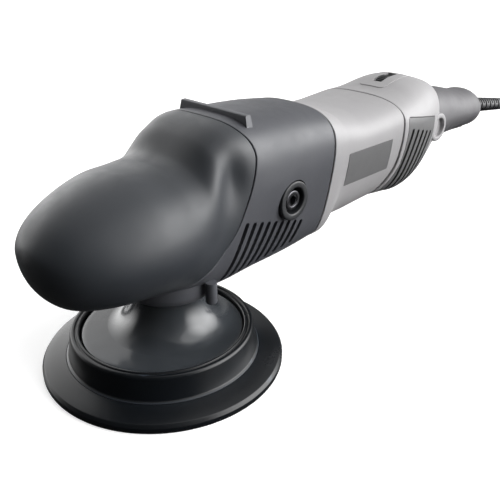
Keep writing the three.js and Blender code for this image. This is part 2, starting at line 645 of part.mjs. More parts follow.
function sidePatch(stations, outline, from, to, depth, proud) {
  return insert(stations, sideways(outline, 20, 70), from, to, depth, proud);
}

function motorHousing() {
  const pocket = sidePatch(MOTOR_STATIONS, grown(BADGE, 0.5), 135, 200, 1.3, 3);
  return casing(MOTOR_STATIONS, HEAD_END + GAP, 212, 5)
    .subtract(behindSeam(MOTOR_SEAM))
    .subtract(pocket.add(mirrored(pocket)));
}

function badge() {
  return sidePatch(MOTOR_STATIONS, BADGE, 135, 200, 1, 0.4);
}

function ventGrille() {
  const panel = sidePatch(REAR_STATIONS, GRILLE, 196, 268, 2.4, 0.4);
  let cut = panel;
  for (let i = 0; i < 5; i += 1) {
    const [topY, topZ, footY, footZ] = [213.5 + 8.6 * i, 112.5 - 2.2 * i, 206.5 + 6.6 * i, 64 + 1.6 * i];
    const slot = [[topY, topZ], [topY + 3.4, topZ], [footY + 3.4, footZ], [footY, footZ]];
    cut = cut.subtract(sideways(slot, 15, 70));
  }
  return cut;
}

function dialOutline(grow) {
  const [front, back, half] = [DIAL.y - 20 - grow, DIAL.y + 18 + grow, 11 + grow];
  return block([-half, front, 125], [half, back, 170]);
}

function dialBezel() {
  const plate = skin(REAR_STATIONS, 205, 262, 1.4, 6).subtract(skin(REAR_STATIONS, 200, 270, -1.2, 6));
  return plate.intersect(dialOutline(0)).subtract(dialSlot());
}

function dialSlot() {
  return block([-4, DIAL.y - 11, 120], [4, DIAL.y + 12, 170]);
}

// A round boss on each rear corner of the housing, with a blind recess.
function cornerBoss() {
  return rod('x', 11.5, [28.3, 267, 101], 7.7, 24).subtract(rod('x', 7.4, [33.5, 267, 101], 5, 16));
}

function rearHousing() {
  const grilleHole = sidePatch(REAR_STATIONS, grown(GRILLE, 0.5), 195, 270, 8, 8);
  const bezelSeat = dialOutline(GAP).subtract(skin(REAR_STATIONS, 200, 270, -1.2 - GAP, 6));
  return casing(REAR_STATIONS, 186, REAR_END, 7, { back: WALL })
    .intersect(behindSeam(MOTOR_SEAM, GAP))
    .subtract(grilleHole.add(mirrored(grilleHole)))
    .subtract(bezelSeat)
    .subtract(block([-5.5, DIAL.y - 15, 120], [5.5, DIAL.y + 15, 170]))
    .subtract(rod('y', 18, [0, REAR_END - 20, 98], 40, 24))
    .add(cornerBoss())
    .add(mirrored(cornerBoss()));
}

function speedDial() {
  const wheel = rod('x', DIAL.radius, [-DIAL.width / 2, DIAL.y, DIAL.z], DIAL.width, 24);
  return wheel.subtract(rod('x', 2 + GAP, [-10, DIAL.y, DIAL.z], 20, 12));
}

function speedBoard() {
  const board = block([-20, 228, 117], [20, 262, 118.8]);
  const dialPost = (x) => block([x - 1.5, DIAL.y - 3, 118], [x + 1.5, DIAL.y + 3, DIAL.z + 3]);
  const axle = rod('x', 2, [-7, DIAL.y, DIAL.z], 14, 12);
  return board.add(dialPost(6)).add(dialPost(-6)).add(axle);
}

// ---------------------------------------------------------------- rear handle
function rearHandle() {
  const half = TRIGGER.width / 2 + 0.5;
  return casing(HANDLE_STATIONS, REAR_END + GAP, HANDLE_END, 6, { back: WALL })
    .subtract(block([-half, TRIGGER.front - 1, 55], [half, TRIGGER.back + 1.5, 85]))
    .subtract(rod('x', LOCK.radius + GAP, [-45, LOCK.y, LOCK.z], 30, 20))
    .subtract(rod('y', 6.9, [0, HANDLE_END - 20, 90.9], 40, 20));
}

function trigger() {
  const half = TRIGGER.width / 2;
  const envelope = skin(HANDLE_STATIONS, TRIGGER.front, TRIGGER.back, 0.8, 8);
  const { front, back, hingeY, hingeZ } = TRIGGER;
  const outline = [[front, 60], [back, 60], [back, 79], [300, 85.5], [295, 88.5], [front, 88.5]];
  return envelope.intersect(sideways(outline, -half, half))
    .subtract(rod('x', 2 + GAP, [-20, hingeY, hingeZ], 40, 12));
}

function triggerPin() {
  return rod('x', 2, [-10.4, TRIGGER.hingeY, TRIGGER.hingeZ], 20.8, 12);
}

function switchModule() {
  return block([-11, 302, 87.5], [11, 336, 108.5]);
}

function lockButton() {
  return rod('x', LOCK.radius, [-28.5, LOCK.y, LOCK.z], 12, 20);
}

// ---------------------------------------------------------------- power cord
function strainRelief() {
  const profile = [
    [CORD_RADIUS + GAP, 0], [8.5, 0], [8.5, 2], [6.2, 2.4], [6.2, 9], [7.3, 9.6], [7.1, 52],
    [6, RELIEF.length], [CORD_RADIUS + GAP, RELIEF.length], [CORD_RADIUS + GAP, 0],
  ];
  const geometry = new THREE.LatheGeometry(profile.map(([r, h]) => new THREE.Vector2(r, h)), 16);
  return solidOf(geometry.rotateX(-DROOP).translate(0, RELIEF.y, RELIEF.z));
}


function powerCord() {
  const path = new THREE.CatmullRomCurve3(CORD_ROUTE.map((point) => new THREE.Vector3(...point)));
  const section = new THREE.Shape();
  const sides = 8;
  for (let i = 0; i < sides; i += 1) {
    const angle = (2 * Math.PI * i) / sides;
    const [x, y] = [CORD_RADIUS * Math.cos(angle), CORD_RADIUS * Math.sin(angle)];
    if (i === 0) section.moveTo(x, y);
    else section.lineTo(x, y);
  }
  return solidOf(new THREE.ExtrudeGeometry(section, { steps: 12, extrudePath: path, bevelEnabled: false }));
}

function cordCoil() {
  return ring('z', COIL.inner, COIL.outer, [COIL.x, COIL.y, 0], COIL.height, 28);
}

// The plug lies beside the coil, in line with the turn that leaves it.
function plugBody() {
  const neck = turned('y', [
    [CORD_RADIUS + GAP, 0], [5.6, 0], [6.8, PLUG.neck], [12, PLUG.neck + 3], [12.6, PLUG.neck + 10],
    [12.6, PLUG.neck + PLUG.body], [0, PLUG.neck + PLUG.body], [0, 3], [CORD_RADIUS + GAP, 3],
  ], undefined, 20);
  return neck.rotate([0, 0, 180]).scale([1.35, 1, 1]).translate([PLUG.x, PLUG.y, PLUG.z]);
}

function plugPin() {
  const from = PLUG.y - PLUG.neck - PLUG.body - GAP;
  return rod('y', 2.4, [PLUG.x + 9.5, from - 19, PLUG.z], 19, 12);
}

// ---------------------------------------------------------------- the whole tool
add('hook_face', hookFace(), MATERIALS.hookFace);
add('rubber_base', rubberBase(), MATERIALS.padRubber);
add('backing_plate', backingPlate(), MATERIALS.padRubber);
add('hub_disc', hubDisc(), MATERIALS.glossDisc);
add('pad_spindle', padSpindle(), MATERIALS.steel);
add('pad_bearing', padBearing(), MATERIALS.steel);
add('output_shaft', outputShaft(), MATERIALS.steel);
add('counterweight', counterweight(), MATERIALS.brass);
spindleBearings();
add('crown_gear', crownGear(), MATERIALS.steel);
add('pinion_gear', pinionGear(), MATERIALS.steel);
add('head_cover', headCover(), MATERIALS.hood);
add('gear_housing', gearHousing(), MATERIALS.darkHousing);
add('hand_stop_bar', handStopBar(), MATERIALS.darkHousing);
addPair('handle_port', portRing(), MATERIALS.blackPlastic);
addPair('port_screw', portScrew(), MATERIALS.blackSteel);
add('gear_case', gearCase(), MATERIALS.aluminium);
add('snout', snout(), MATERIALS.darkHousing);
add('spin_shroud', spinShroud(), MATERIALS.padRubber);
add('rotor_shaft', rotorShaft(), MATERIALS.steel);
add('rotor_bearing_front', ring('y', 5 + GAP, 13, [0, 44, MOTOR_AXIS_Z], 8), MATERIALS.steel);
add('rotor_bearing_rear', ring('y', 3.5 + GAP, 11, [0, BRIDGE_Y + 3, MOTOR_AXIS_Z], 7), MATERIALS.steel);
add('fan', fan(), MATERIALS.blackPlastic);
add('fan_baffle', fanBaffle(), MATERIALS.blackPlastic);
add('stator_core', statorCore(), MATERIALS.steel);
add('field_coil_front', fieldCoil(STATOR.front - 7.3), MATERIALS.copper);
add('field_coil_rear', fieldCoil(STATOR.back + 0.3), MATERIALS.copper);
add('armature_core', armatureCore(), MATERIALS.steel);
add('armature_winding_front', armatureWinding(STATOR.front - 7.8), MATERIALS.copper);
add('armature_winding_rear', armatureWinding(STATOR.back + 0.3), MATERIALS.copper);
add('commutator', commutator(), MATERIALS.copper);
add('rear_bridge', rearBridge(), MATERIALS.blackPlastic);
addPair('brush_holder', brushHolder(), MATERIALS.brass);
addPair('carbon_brush', carbonBrush(), MATERIALS.carbon);
add('motor_housing', motorHousing(), MATERIALS.lightHousing);
addPair('badge', badge(), MATERIALS.trim);
add('rear_housing', rearHousing(), MATERIALS.lightHousing);
addPair('vent_grille', ventGrille(), MATERIALS.trim);
add('dial_bezel', dialBezel(), MATERIALS.lightHousing);
add('speed_dial', speedDial(), MATERIALS.blackPlastic);
add('speed_board', speedBoard(), MATERIALS.circuitBoard);
add('rear_handle', rearHandle(), MATERIALS.handleRubber);
add('trigger', trigger(), MATERIALS.blackPlastic);
add('trigger_pin', triggerPin(), MATERIALS.steel);
add('switch_module', switchModule(), MATERIALS.blackPlastic);
add('lock_button', lockButton(), MATERIALS.blackPlastic);
add('strain_relief', strainRelief(), MATERIALS.cordRubber);
add('power_cord', powerCord(), MATERIALS.cordRubber);
add('cord_coil', cordCoil(), MATERIALS.cordRubber);
add('plug_body', plugBody(), MATERIALS.cordRubber);
add('plug_pin_right', plugPin(), MATERIALS.steel);
add('plug_pin_left', plugPin().translate([-19, 0, 0]), MATERIALS.steel);

export default polisher;
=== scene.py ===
"""Looks of a dual action polisher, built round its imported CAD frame.

Driving values are in millimetres, as in the CAD source; meshes are made in metres.
"""
import json
import math

import bmesh
import bpy
import numpy as np
from mathutils import Matrix, Vector


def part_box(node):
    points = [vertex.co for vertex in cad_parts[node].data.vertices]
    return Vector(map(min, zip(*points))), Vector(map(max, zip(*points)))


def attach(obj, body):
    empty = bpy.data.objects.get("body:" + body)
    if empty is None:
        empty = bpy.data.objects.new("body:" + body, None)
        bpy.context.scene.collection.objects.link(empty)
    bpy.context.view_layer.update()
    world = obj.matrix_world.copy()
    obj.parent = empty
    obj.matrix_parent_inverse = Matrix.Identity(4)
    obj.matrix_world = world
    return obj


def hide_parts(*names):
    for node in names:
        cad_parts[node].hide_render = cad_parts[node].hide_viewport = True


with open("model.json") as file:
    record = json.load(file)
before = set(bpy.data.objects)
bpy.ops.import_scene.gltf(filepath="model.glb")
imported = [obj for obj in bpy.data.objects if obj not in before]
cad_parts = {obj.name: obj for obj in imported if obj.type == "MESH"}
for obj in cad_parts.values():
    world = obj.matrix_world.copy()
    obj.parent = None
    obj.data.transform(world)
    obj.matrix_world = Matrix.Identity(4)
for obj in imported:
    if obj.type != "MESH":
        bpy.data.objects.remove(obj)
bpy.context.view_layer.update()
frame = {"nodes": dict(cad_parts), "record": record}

MM = 0.001

# ---------------------------------------------------------------- camera
CAMERA_AT = (0.2890, -0.2242, 0.2602)
CAMERA_HEADING = 43.4  # degrees from +Y towards -X
CAMERA_DIP = 27.04  # degrees below the horizon
CAMERA_LENS = 48.31


def make_camera():
    camera = bpy.data.objects.new("camera", bpy.data.cameras.new("camera"))
    camera.data.lens = CAMERA_LENS
    camera.data.sensor_width = 36
    camera.data.clip_start = 0.01
    camera.data.clip_end = 400
    camera.location = CAMERA_AT
    camera.rotation_euler = (math.radians(90 - CAMERA_DIP), 0, math.radians(CAMERA_HEADING))
    bpy.context.scene.collection.objects.link(camera)
    bpy.context.scene.camera = camera


make_camera()

# ---------------------------------------------------------------- driving values
ORBIT_OFFSET = 7.5
HEAD_END = 120
MOTOR_END = 204
REAR_END = 275
HANDLE_END = 384
WALL = 2.6
SEAM_GAP = 0.7
PORT = {"y": 79, "z": 95.5, "face": 41.6, "ring": 13, "bore": 8.6}
DIAL = {"y": 236, "z": 131.6, "radius": 11, "width": 7}
TRIGGER = {"front": 287, "back": 366, "width": 17}
LOCK = {"y": 300, "z": 97, "radius": 5}
SNOUT_OPENING = 30.2
SPINDLE = (0, ORBIT_OFFSET, 0)
BAR = {"half": 30, "front": 47.6, "back": 53, "low": 144, "high": 153.8}
COOLING = {"count": 9, "first": 37.1, "pitch": 7.05, "top": 92, "foot": 55.5, "lean": 0.34, "width": 3.7}
BOSS = {"y": 267, "z": 101, "radius": 11.5, "recess": 7.4}
FLOOR_SIZE = 150  # metres
DOME_RADIUS = 70  # metres
GROUND_GLOW = 0.02  # light that comes up from below, where the floor sends none to the object

# Sections of the body along Y: y, half width, half width of the keel, top, bottom, height of the
# widest line, squareness of the upper half, squareness of the lower half.
HEAD_STATIONS = (
    (-84.6, 0, 0, 98, 98, 98, 2, 2),
    (-84, 7, 7, 104, 91, 98, 2, 2),
    (-80, 19, 19, 110, 79, 97, 2, 2),
    (-70, 31, 30, 119, 68, 95, 2, 2.1),
    (-52, 41, 38, 127.5, 62.5, 94, 2, 2.2),
    (-30, 46, 41, 132.3, 60, 95, 2.15, 2.4),
    (-8, 46, 39.5, 132.3, 56.5, 96, 2.35, 2.8),
    (6, 43.5, 38, 134, 51.5, 100, 2.7, 3),
    (18, 40.8, 36.5, 145.2, 48, 105, 3.6, 3.3),
    (30, 41.3, 35, 150.5, 47, 110, 3.8, 3.8),
    (52, 42, 32, 151, 47.5, 115, 3.1, 4.6),
    (90, 41.5, 31, 148.5, 47.5, 118, 2.9, 5),
    (HEAD_END, 40.3, 30, 144.5, 48.5, 118, 2.8, 5),
)
MOTOR_STATIONS = (
    (HEAD_END, 40.8, 30.5, 144.5, 48.3, 118, 2.8, 5),
    (129, 40.6, 31, 141.5, 49.5, 117.5, 2.7, 4.8),
    (136, 40.5, 31.3, 138.5, 55.5, 117, 2.7, 4),
    (158, 41, 31.5, 135.4, 56.5, 116, 2.5, 3.8),
    (MOTOR_END, 41.8, 32, 136, 58, 116, 2.8, 3.8),
)
REAR_STATIONS = (
    (190, 42.3, 32.6, 136.4, 58, 116, 2.8, 3.8),
    (208, 42.6, 33.5, 136.6, 57, 115.5, 2.5, 4.4),
    (220, 42.2, 34, 138.5, 56, 114, 2.25, 4.8),
    (234, 41.2, 34, 141.5, 57, 112, 2.2, 4.6),
    (248, 39.2, 32.5, 141.8, 59.5, 109.5, 2.45, 4),
    (260, 36.5, 30, 139.5, 64, 107, 2.7, 3.4),
    (270, 33, 27.5, 136.5, 70, 104, 2.9, 3),
    (REAR_END, 30.5, 25, 134.3, 75, 102, 2.9, 2.6),
)
HANDLE_STATIONS = (
    (REAR_END, 27, 24, 127, 75, 101, 2.3, 2.2),
    (316, 24.5, 22, 120.5, 76, 98, 2.2, 2.1),
    (340, 22.5, 21, 114.5, 76, 95, 2.1, 2),
    (354, 21.5, 20, 111.5, 75, 93, 2.1, 2),
    (367, 21, 19.5, 110.5, 74, 92, 2.1, 2),
    (378, 18.5, 17.5, 106.5, 73.8, 90.5, 2, 2),
    (HANDLE_END, 14.5, 14, 101.5, 78, 90, 2, 2),
)
# Seams seen from the side, as (y, z) from the top down.
HOOD_SEAM = (
    (36, 165), (38.5, 150), (42.5, 142), (43.8, 134), (42.8, 128), (40, 117), (35, 104),
    (28.5, 91), (18.5, 80), (6, 70.5), (-5, 66), (-18, 63.5), (-31, 61.5), (-34, 40),
)
MOTOR_SEAM = (
    (199, 150), (200.5, 136), (201.5, 130), (202, 115), (203, 100), (202, 84), (198, 75),
    (194, 66), (190, 50),
)
# Outlines of the label plate and of the side grille, as (y, z).
BADGE = ((138.3, 87.1), (191.5, 86), (188.4, 110.3), (137.5, 111.6))
GRILLE = (
    (207.5, 122.5), (254, 113.5), (255, 96), (248, 76), (240, 54), (200, 52), (200, 68), (204, 76),
    (208.3, 86), (209, 98),
)
# The power cord: the sleeve where it leaves the handle, its way down to the floor, and the coil.
CORD_DIAMETER = 8.5
RELIEF = {"y": 376.6, "z": 91.9, "length": 88, "droop": 10}
COIL = {"x": 104, "y": 486, "outer": 59.75, "pitch": 8.6, "lift": 8.5}
CORD_ROUTE = (
    (0, 463.6, 76.5), (0, 474, 74.4), (0.8, 484, 70.5), (2.6, 493.5, 64), (5.5, 501.5, 55.5),
    (9.3, 508, 46), (14, 513.6, 36.5), (19.8, 518.2, 27.5), (26.6, 521.8, 19.5), (34, 524.6, 13),
    (41.5, 527.2, 8.8),
    (49, 529.7, 6.7), (56.5, 532.3, 5.5), (66, 535.7, 4.7), (75, 539, 4.4))
# Where each turn of the coil lies, as (columns in from the outside, layers up from the floor).
COIL_TURNS = (
    (0, 0), (1, 0), (2, 0), (3, 0), (3, 1), (3, 2), (2, 2), (2, 1), (1, 1), (1, 2), (0, 2), (0, 1))

# ---------------------------------------------------------------- lights, floor and backdrop


def sun(name, towards, strength, spread):
    """A wide sun, which lights the floor evenly as far as it goes."""
    light = bpy.data.lights.new(name, "SUN")
    light.energy = strength
    light.angle = math.radians(spread)
    lamp = bpy.data.objects.new(name, light)
    lamp.rotation_euler = Vector(towards).to_track_quat("Z", "Y").to_euler()
    bpy.context.scene.collection.objects.link(lamp)




def ramp(tree, value, from_low, from_high, to_low, to_high):
    """A clamped straight ramp of a node's output."""
    node = tree.nodes.new("ShaderNodeMapRange")
    tree.links.new(value, node.inputs["Value"])
    ends = {"From Min": from_low, "From Max": from_high, "To Min": to_low, "To Max": to_high}
    for key, end in ends.items():
        node.inputs[key].default_value = end
    return node.outputs["Result"]


def reckon(tree, operation, a, b):
    node = tree.nodes.new("ShaderNodeMath")
    node.operation = operation
    for socket, value in zip(node.inputs, (a, b)):
        if isinstance(value, (int, float)):
            socket.default_value = value
        else:
            tree.links.new(value, socket)
    return node.outputs["Value"]


def make_sky():
    """Soft light from above, a bright panel on each side towards the back, and a dark front."""
    world = bpy.data.worlds.new("studio")
    world.use_nodes = True
    tree = world.node_tree
    heading = tree.nodes.new("ShaderNodeTexCoord").outputs["Generated"]
    split = tree.nodes.new("ShaderNodeSeparateXYZ")
    tree.links.new(heading, split.inputs["Vector"])
    y, z = split.outputs["Y"], split.outputs["Z"]

    def towards(direction):
        node = tree.nodes.new("ShaderNodeVectorMath")
        node.operation = "DOT_PRODUCT"
        node.inputs[1].default_value = Vector(direction).normalized()
        tree.links.new(heading, node.inputs[0])
        return node.outputs["Value"]

    overhead = ramp(tree, z, 0.0, 0.8, 0.04, 0.95)
    above = reckon(tree, "MULTIPLY", overhead, ramp(tree, y, -0.6, 0.1, 0.1, 1))
    left = ramp(tree, towards((0.72, 0.68, 0.12)), 0.66, 0.95, 0, 7)
    right = ramp(tree, towards((-0.98, 0.05, 0.0)), 0.66, 0.95, 0, 3.2)
    panels = reckon(tree, "ADD", left, right)
    panels = reckon(tree, "MULTIPLY", panels, ramp(tree, z, -0.3, 0.1, 0, 1))
    light = reckon(tree, "ADD", reckon(tree, "ADD", above, panels), GROUND_GLOW)
    background = tree.nodes["Background"]
    tree.links.new(light, background.inputs["Strength"])
    background.inputs["Color"].default_value = (1, 1, 1, 1)
    bpy.context.scene.world = world


def make_studio():
    make_sky()
    sun("key", (0.7, 0.3, 0.8), 0.7, 50)
    bpy.context.scene.view_settings.view_transform = "Standard"


def make_stage(paper, glow):
    """A lit floor and a white dome. Neither sends light back to the object."""
    bpy.ops.mesh.primitive_plane_add(size=FLOOR_SIZE, location=(0, 0, 0))
    floor = bpy.context.object
    floor.name = "floor"
    floor.data.materials.append(paper)
    bpy.ops.mesh.primitive_uv_sphere_add(radius=DOME_RADIUS, location=(0, 0, 0))
    dome = bpy.context.object
    dome.name = "backdrop"
    dome.data.materials.append(glow)
    dome.visible_shadow = False
    for part in (floor, dome):
        part.visible_diffuse = part.visible_glossy = False


# ---------------------------------------------------------------- procedural materials
SLOT_OF = {part["node"]: part["material_slot"] for part in frame["record"]["subparts"]}


class Graph:
    """A material's nodes, with short calls to add and join them."""

    def __init__(self, name):
        self.material = bpy.data.materials.new(name)
        self.material.use_nodes = True
        self.tree = self.material.node_tree
        self.shader = self.tree.nodes["Principled BSDF"]
        self.place = self.add("ShaderNodeTexCoord").outputs["Object"]

    def add(self, kind, **settings):
        node = self.tree.nodes.new(kind)
        for key, value in settings.items():
            if key in node.inputs:
                node.inputs[key].default_value = value
            else:
                setattr(node, key, value)
        return node

    def join(self, output, target):
        self.tree.links.new(output, target)

    def noise(self, scale, detail=3, roughness=0.55, stretch=None, distortion=0):
        node = self.add("ShaderNodeTexNoise", Scale=scale, Detail=detail, Roughness=roughness)
        node.inputs["Distortion"].default_value = distortion
        place = self.place
        if stretch:
            mapping = self.add("ShaderNodeMapping")
            mapping.inputs["Scale"].default_value = stretch
            self.join(place, mapping.inputs["Vector"])
            place = mapping.outputs["Vector"]
        self.join(place, node.inputs["Vector"])
        return node.outputs["Fac"]

    def span(self, value, low, high, from_low=0.3, from_high=0.7):
        return ramp(self.tree, value, from_low, from_high, low, high)

    def mixed(self, factor, a, b):
        """Colour a where factor is 0 and b where it is 1; each may be a constant or an output."""
        node = self.add("ShaderNodeMix", data_type="RGBA")
        if isinstance(factor, float):
            node.inputs["Factor"].default_value = factor
        else:
            self.join(factor, node.inputs["Factor"])
        for socket, value in ((node.inputs[6], a), (node.inputs[7], b)):
            if isinstance(value, tuple):
                socket.default_value = (*value, 1)
            else:
                self.join(value, socket)
        return node.outputs[2]

    def bump(self, layers):
        """Joins (height, depth in metres) layers one on another into the shader's normal."""
        normal = None
        for height, depth in layers:
            node = self.add("ShaderNodeBump", Distance=depth)
            node.inputs["Strength"].default_value = 1
            self.join(height, node.inputs["Height"])
            if normal:
                self.join(normal, node.inputs["Normal"])
            normal = node.outputs["Normal"]
        self.join(normal, self.shader.inputs["Normal"])

    def paint(self, colour):
        self.join(colour, self.shader.inputs["Base Color"])

    def set(self, **values):
        for key, value in values.items():
            self.shader.inputs[key.replace("_", " ")].default_value = value


def shade(colour, by):
    return tuple(min(1.0, channel * by) for channel in colour)


def moulded(name, colour, roughness, grain=2600, depth=0.00003, mottle=0.12, wear=0.25, coat=0.0):
    """Moulded plastic or rubber: fine grain, cloudy tone, uneven gloss and paler worn edges."""
    graph = Graph(name)
    cloud = graph.span(graph.noise(28, 4), 0, 1)
    speck = graph.span(graph.noise(420, 2), 0, 1)
    tone = graph.mixed(cloud, shade(colour, 1 - mottle), shade(colour, 1 + mottle))
    fleck = graph.mixed(speck, tone, shade(colour, 1 + mottle))
    flecked = graph.mixed(0.35, tone, fleck)
    edge = graph.span(graph.add("ShaderNodeNewGeometry").outputs["Pointiness"], 0, wear, 0.53, 0.62)
    graph.paint(graph.mixed(edge, flecked, shade(colour, 2.2)))
    smear = graph.noise(60, 5, 0.6, distortion=0.4)
    graph.join(graph.span(smear, roughness - 0.06, roughness + 0.07), graph.shader.inputs["Roughness"])
    graph.bump(((graph.noise(grain, 2), depth), (graph.noise(90, 3), depth * 1.6)))
    graph.set(Coat_Weight=coat, Coat_Roughness=0.25)
    return graph.material


def metal(name, colour, roughness, stretch=(1, 1, 14), depth=0.00001):
    """Machined metal with fine tool marks along one direction and faint stains."""
    graph = Graph(name)
    stain = graph.span(graph.noise(45, 4), 0, 1)
    graph.paint(graph.mixed(stain, shade(colour, 0.82), shade(colour, 1.08)))
    marks = graph.noise(500, 3, stretch=stretch)
    graph.join(graph.span(marks, roughness - 0.07, roughness + 0.1), graph.shader.inputs["Roughness"])
    graph.bump(((marks, depth),))
    graph.set(Metallic=1.0)
    return graph.material


def cast(name, colour):
    """Sand-cast alloy: coarse pitting, dull."""
    graph = Graph(name)
    pits = graph.noise(700, 5, 0.7)
    graph.paint(graph.mixed(graph.span(pits, 0, 1), shade(colour, 0.7), colour))
    graph.join(graph.span(pits, 0.6, 0.42), graph.shader.inputs["Roughness"])
    graph.bump(((pits, 0.00012),))
    graph.set(Metallic=0.9)
    return graph.material


def hook_cloth(name, colour):
    """Hook-and-loop cloth: a dense field of small hooks on a woven ground."""
    graph = Graph(name)
    cells = graph.add("ShaderNodeTexVoronoi", Scale=650)
    graph.join(graph.place, cells.inputs["Vector"])
    hooks = cells.outputs["Distance"]
    graph.paint(graph.mixed(graph.span(hooks, 0, 1, 0.1, 0.6), shade(colour, 2.2), colour))
    graph.bump(((graph.span(hooks, 1, 0, 0, 0.6), 0.0007),))
    graph.set(Roughness=0.95, Sheen_Weight=0.3)
    return graph.material


def wound_wire(name, colour):
    """Enamelled copper: fine parallel strands with varnish, and painted shade in the grooves between them.
    """
    graph = Graph(name)
    strands = graph.add("ShaderNodeTexWave", Scale=330, Distortion=2.5, Detail=2)
    graph.join(graph.place, strands.inputs["Vector"])
    height = strands.outputs["Fac"]
    # painted shade: the low grooves between strands, where the bump sinks, are painted at a third of the
    # colour
    graph.paint(graph.mixed(height, shade(colour, 0.35), colour))
    graph.bump(((height, 0.0002),))
    graph.set(Metallic=0.8, Roughness=0.35, Coat_Weight=0.4)
    return graph.material


def printed_board(name, colour):
    graph = Graph(name)
    tracks = graph.add("ShaderNodeTexBrick", Scale=160)
    graph.join(graph.place, tracks.inputs["Vector"])
    graph.paint(graph.mixed(tracks.outputs["Fac"], colour, shade(colour, 2.4)))
    graph.bump(((tracks.outputs["Fac"], 0.00004),))
    graph.set(Roughness=0.35)
    return graph.material


def pad_rubber(name, colour):
    """Dark moulded rubber with a satin film, and a painted highlight along its convex edges."""
    graph = Graph(name)
    cloud = graph.span(graph.noise(30, 3), 0, 1)
    # painted highlight: convex edges, found by pointiness, are painted up to twelve times paler to stand in
    # for the highlight lines on the rims
    edge = graph.span(graph.add("ShaderNodeNewGeometry").outputs["Pointiness"], 0, 0.5, 0.52, 0.6)
    tone = graph.mixed(cloud, shade(colour, 0.8), shade(colour, 1.25))
    graph.paint(graph.mixed(edge, tone, shade(colour, 12)))
    graph.join(graph.span(graph.noise(45, 4), 0.26, 0.36), graph.shader.inputs["Roughness"])
    graph.bump(((graph.noise(2600, 2), 0.000008),))
    graph.set(Specular_IOR_Level=0.35, Coat_Weight=0.08, Coat_Roughness=0.2)
    return graph.material


def gloss_disc(name, colour):
    """Smooth lacquered disc with fine swirl marks."""
    graph = Graph(name)
    cloud = graph.span(graph.noise(22, 3, distortion=0.8), 0, 1)
    graph.paint(graph.mixed(cloud, shade(colour, 0.85), shade(colour, 1.12)))
    swirl = graph.add("ShaderNodeTexWave", wave_type="RINGS", rings_direction="Z", Scale=500, Distortion=3)
    graph.join(graph.place, swirl.inputs["Vector"])
    graph.join(graph.span(graph.noise(90, 4), 0.13, 0.24), graph.shader.inputs["Roughness"])
    graph.bump(((swirl.outputs["Fac"], 0.000002), (graph.noise(60, 2), 0.00008)))
    graph.set(Coat_Weight=0.25, Coat_Roughness=0.08)
    return graph.material


def glowing_paper(name, colour, glow):
    """Pale paper with faint fibres that shines a little, so that shadows on it stay faint."""
    graph = Graph(name)
    fibre = graph.noise(300, 4)
    graph.paint(graph.mixed(fibre, shade(colour, 0.97), shade(colour, 1.03)))
    graph.bump(((fibre, 0.00002),))
    graph.set(Roughness=0.9, Emission_Color=(1, 1, 1, 1), Emission_Strength=glow)
    return graph.material


MATERIALS = {
    "hood_rubber": moulded(
        "hood_rubber", (0.024, 0.027, 0.032), 0.46, grain=3200, depth=0.00002, mottle=0.06),
    "dark_housing": moulded("dark_housing", (0.056, 0.058, 0.066), 0.46, mottle=0.05),
    "light_housing": moulded("light_housing", (0.3, 0.294, 0.3), 0.5, mottle=0.04, wear=0.12),
    "handle_rubber": moulded("handle_rubber", (0.09, 0.088, 0.094), 0.55, grain=2200, mottle=0.06),
    "grey_trim": moulded("grey_trim", (0.11, 0.11, 0.112), 0.5, mottle=0.06),
    "black_plastic": moulded("black_plastic", (0.012, 0.013, 0.015), 0.42, mottle=0.15),
    "pad_rubber": pad_rubber("pad_rubber", (0.0035, 0.0045, 0.006)),
    "gloss_disc": gloss_disc("gloss_disc", (0.036, 0.04, 0.045)),
    "hook_fabric": hook_cloth("hook_fabric", (0.02, 0.02, 0.021)),
    "cast_aluminium": cast("cast_aluminium", (0.6, 0.6, 0.61)),
    "steel": metal("steel", (0.58, 0.58, 0.6), 0.28),
    "black_steel": metal("black_steel", (0.1, 0.1, 0.108), 0.3),
    "brass": metal("brass", (0.72, 0.5, 0.2), 0.3),
    "copper": wound_wire("copper", (0.72, 0.33, 0.16)),
    "carbon": cast("carbon", (0.03, 0.03, 0.032)),
    "circuit_board": printed_board("circuit_board", (0.02, 0.16, 0.06)),
    "cord_rubber": moulded("cord_rubber", (0.014, 0.014, 0.016), 0.45, mottle=0.15, wear=0.1),
}


def dress_frame():
    """Gives every CAD node that stays in sight the finish of its slot."""
    for name, node in frame["nodes"].items():
        finish = MATERIALS[SLOT_OF[name]]
        if not node.material_slots:
            node.data.materials.append(finish)
        for slot in node.material_slots:
            slot.material = finish


# ---------------------------------------------------------------- mesh helpers
def new_mesh(name, points, faces):
    """A mesh from points in millimetres, with shared points joined and faces turned outwards."""
    mesh = bpy.data.meshes.new(name)
    mesh.from_pydata((np.asarray(points, float) * MM).tolist(), [], faces)
    form = bmesh.new()
    form.from_mesh(mesh)
    bmesh.ops.remove_doubles(form, verts=form.verts, dist=1e-6)
    bmesh.ops.dissolve_degenerate(form, edges=form.edges, dist=1e-7)
    bmesh.ops.recalc_face_normals(form, faces=form.faces)
    form.to_mesh(mesh)
    form.free()
    return mesh


def piece(name, mesh, node=None, body="housing", slot=None, sharp=38):
    """A finished piece that stands for a CAD node, or is extra where none is named."""
    shown = bpy.data.objects.new(name, mesh)
    bpy.context.scene.collection.objects.link(shown)
    slot = slot or SLOT_OF[node]
    mesh.materials.clear()
    mesh.materials.append(MATERIALS[slot])
    mesh.shade_smooth()
    mesh.set_sharp_from_angle(angle=math.radians(sharp))
    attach(shown, body)
    if node:
        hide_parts(node)
    return shown


def merged(meshes):
    """Several meshes as one."""
    form = bmesh.new()
    for mesh in meshes:
        form.from_mesh(mesh)
    whole = bpy.data.meshes.new("merged")
    form.to_mesh(whole)
    form.free()
    return whole


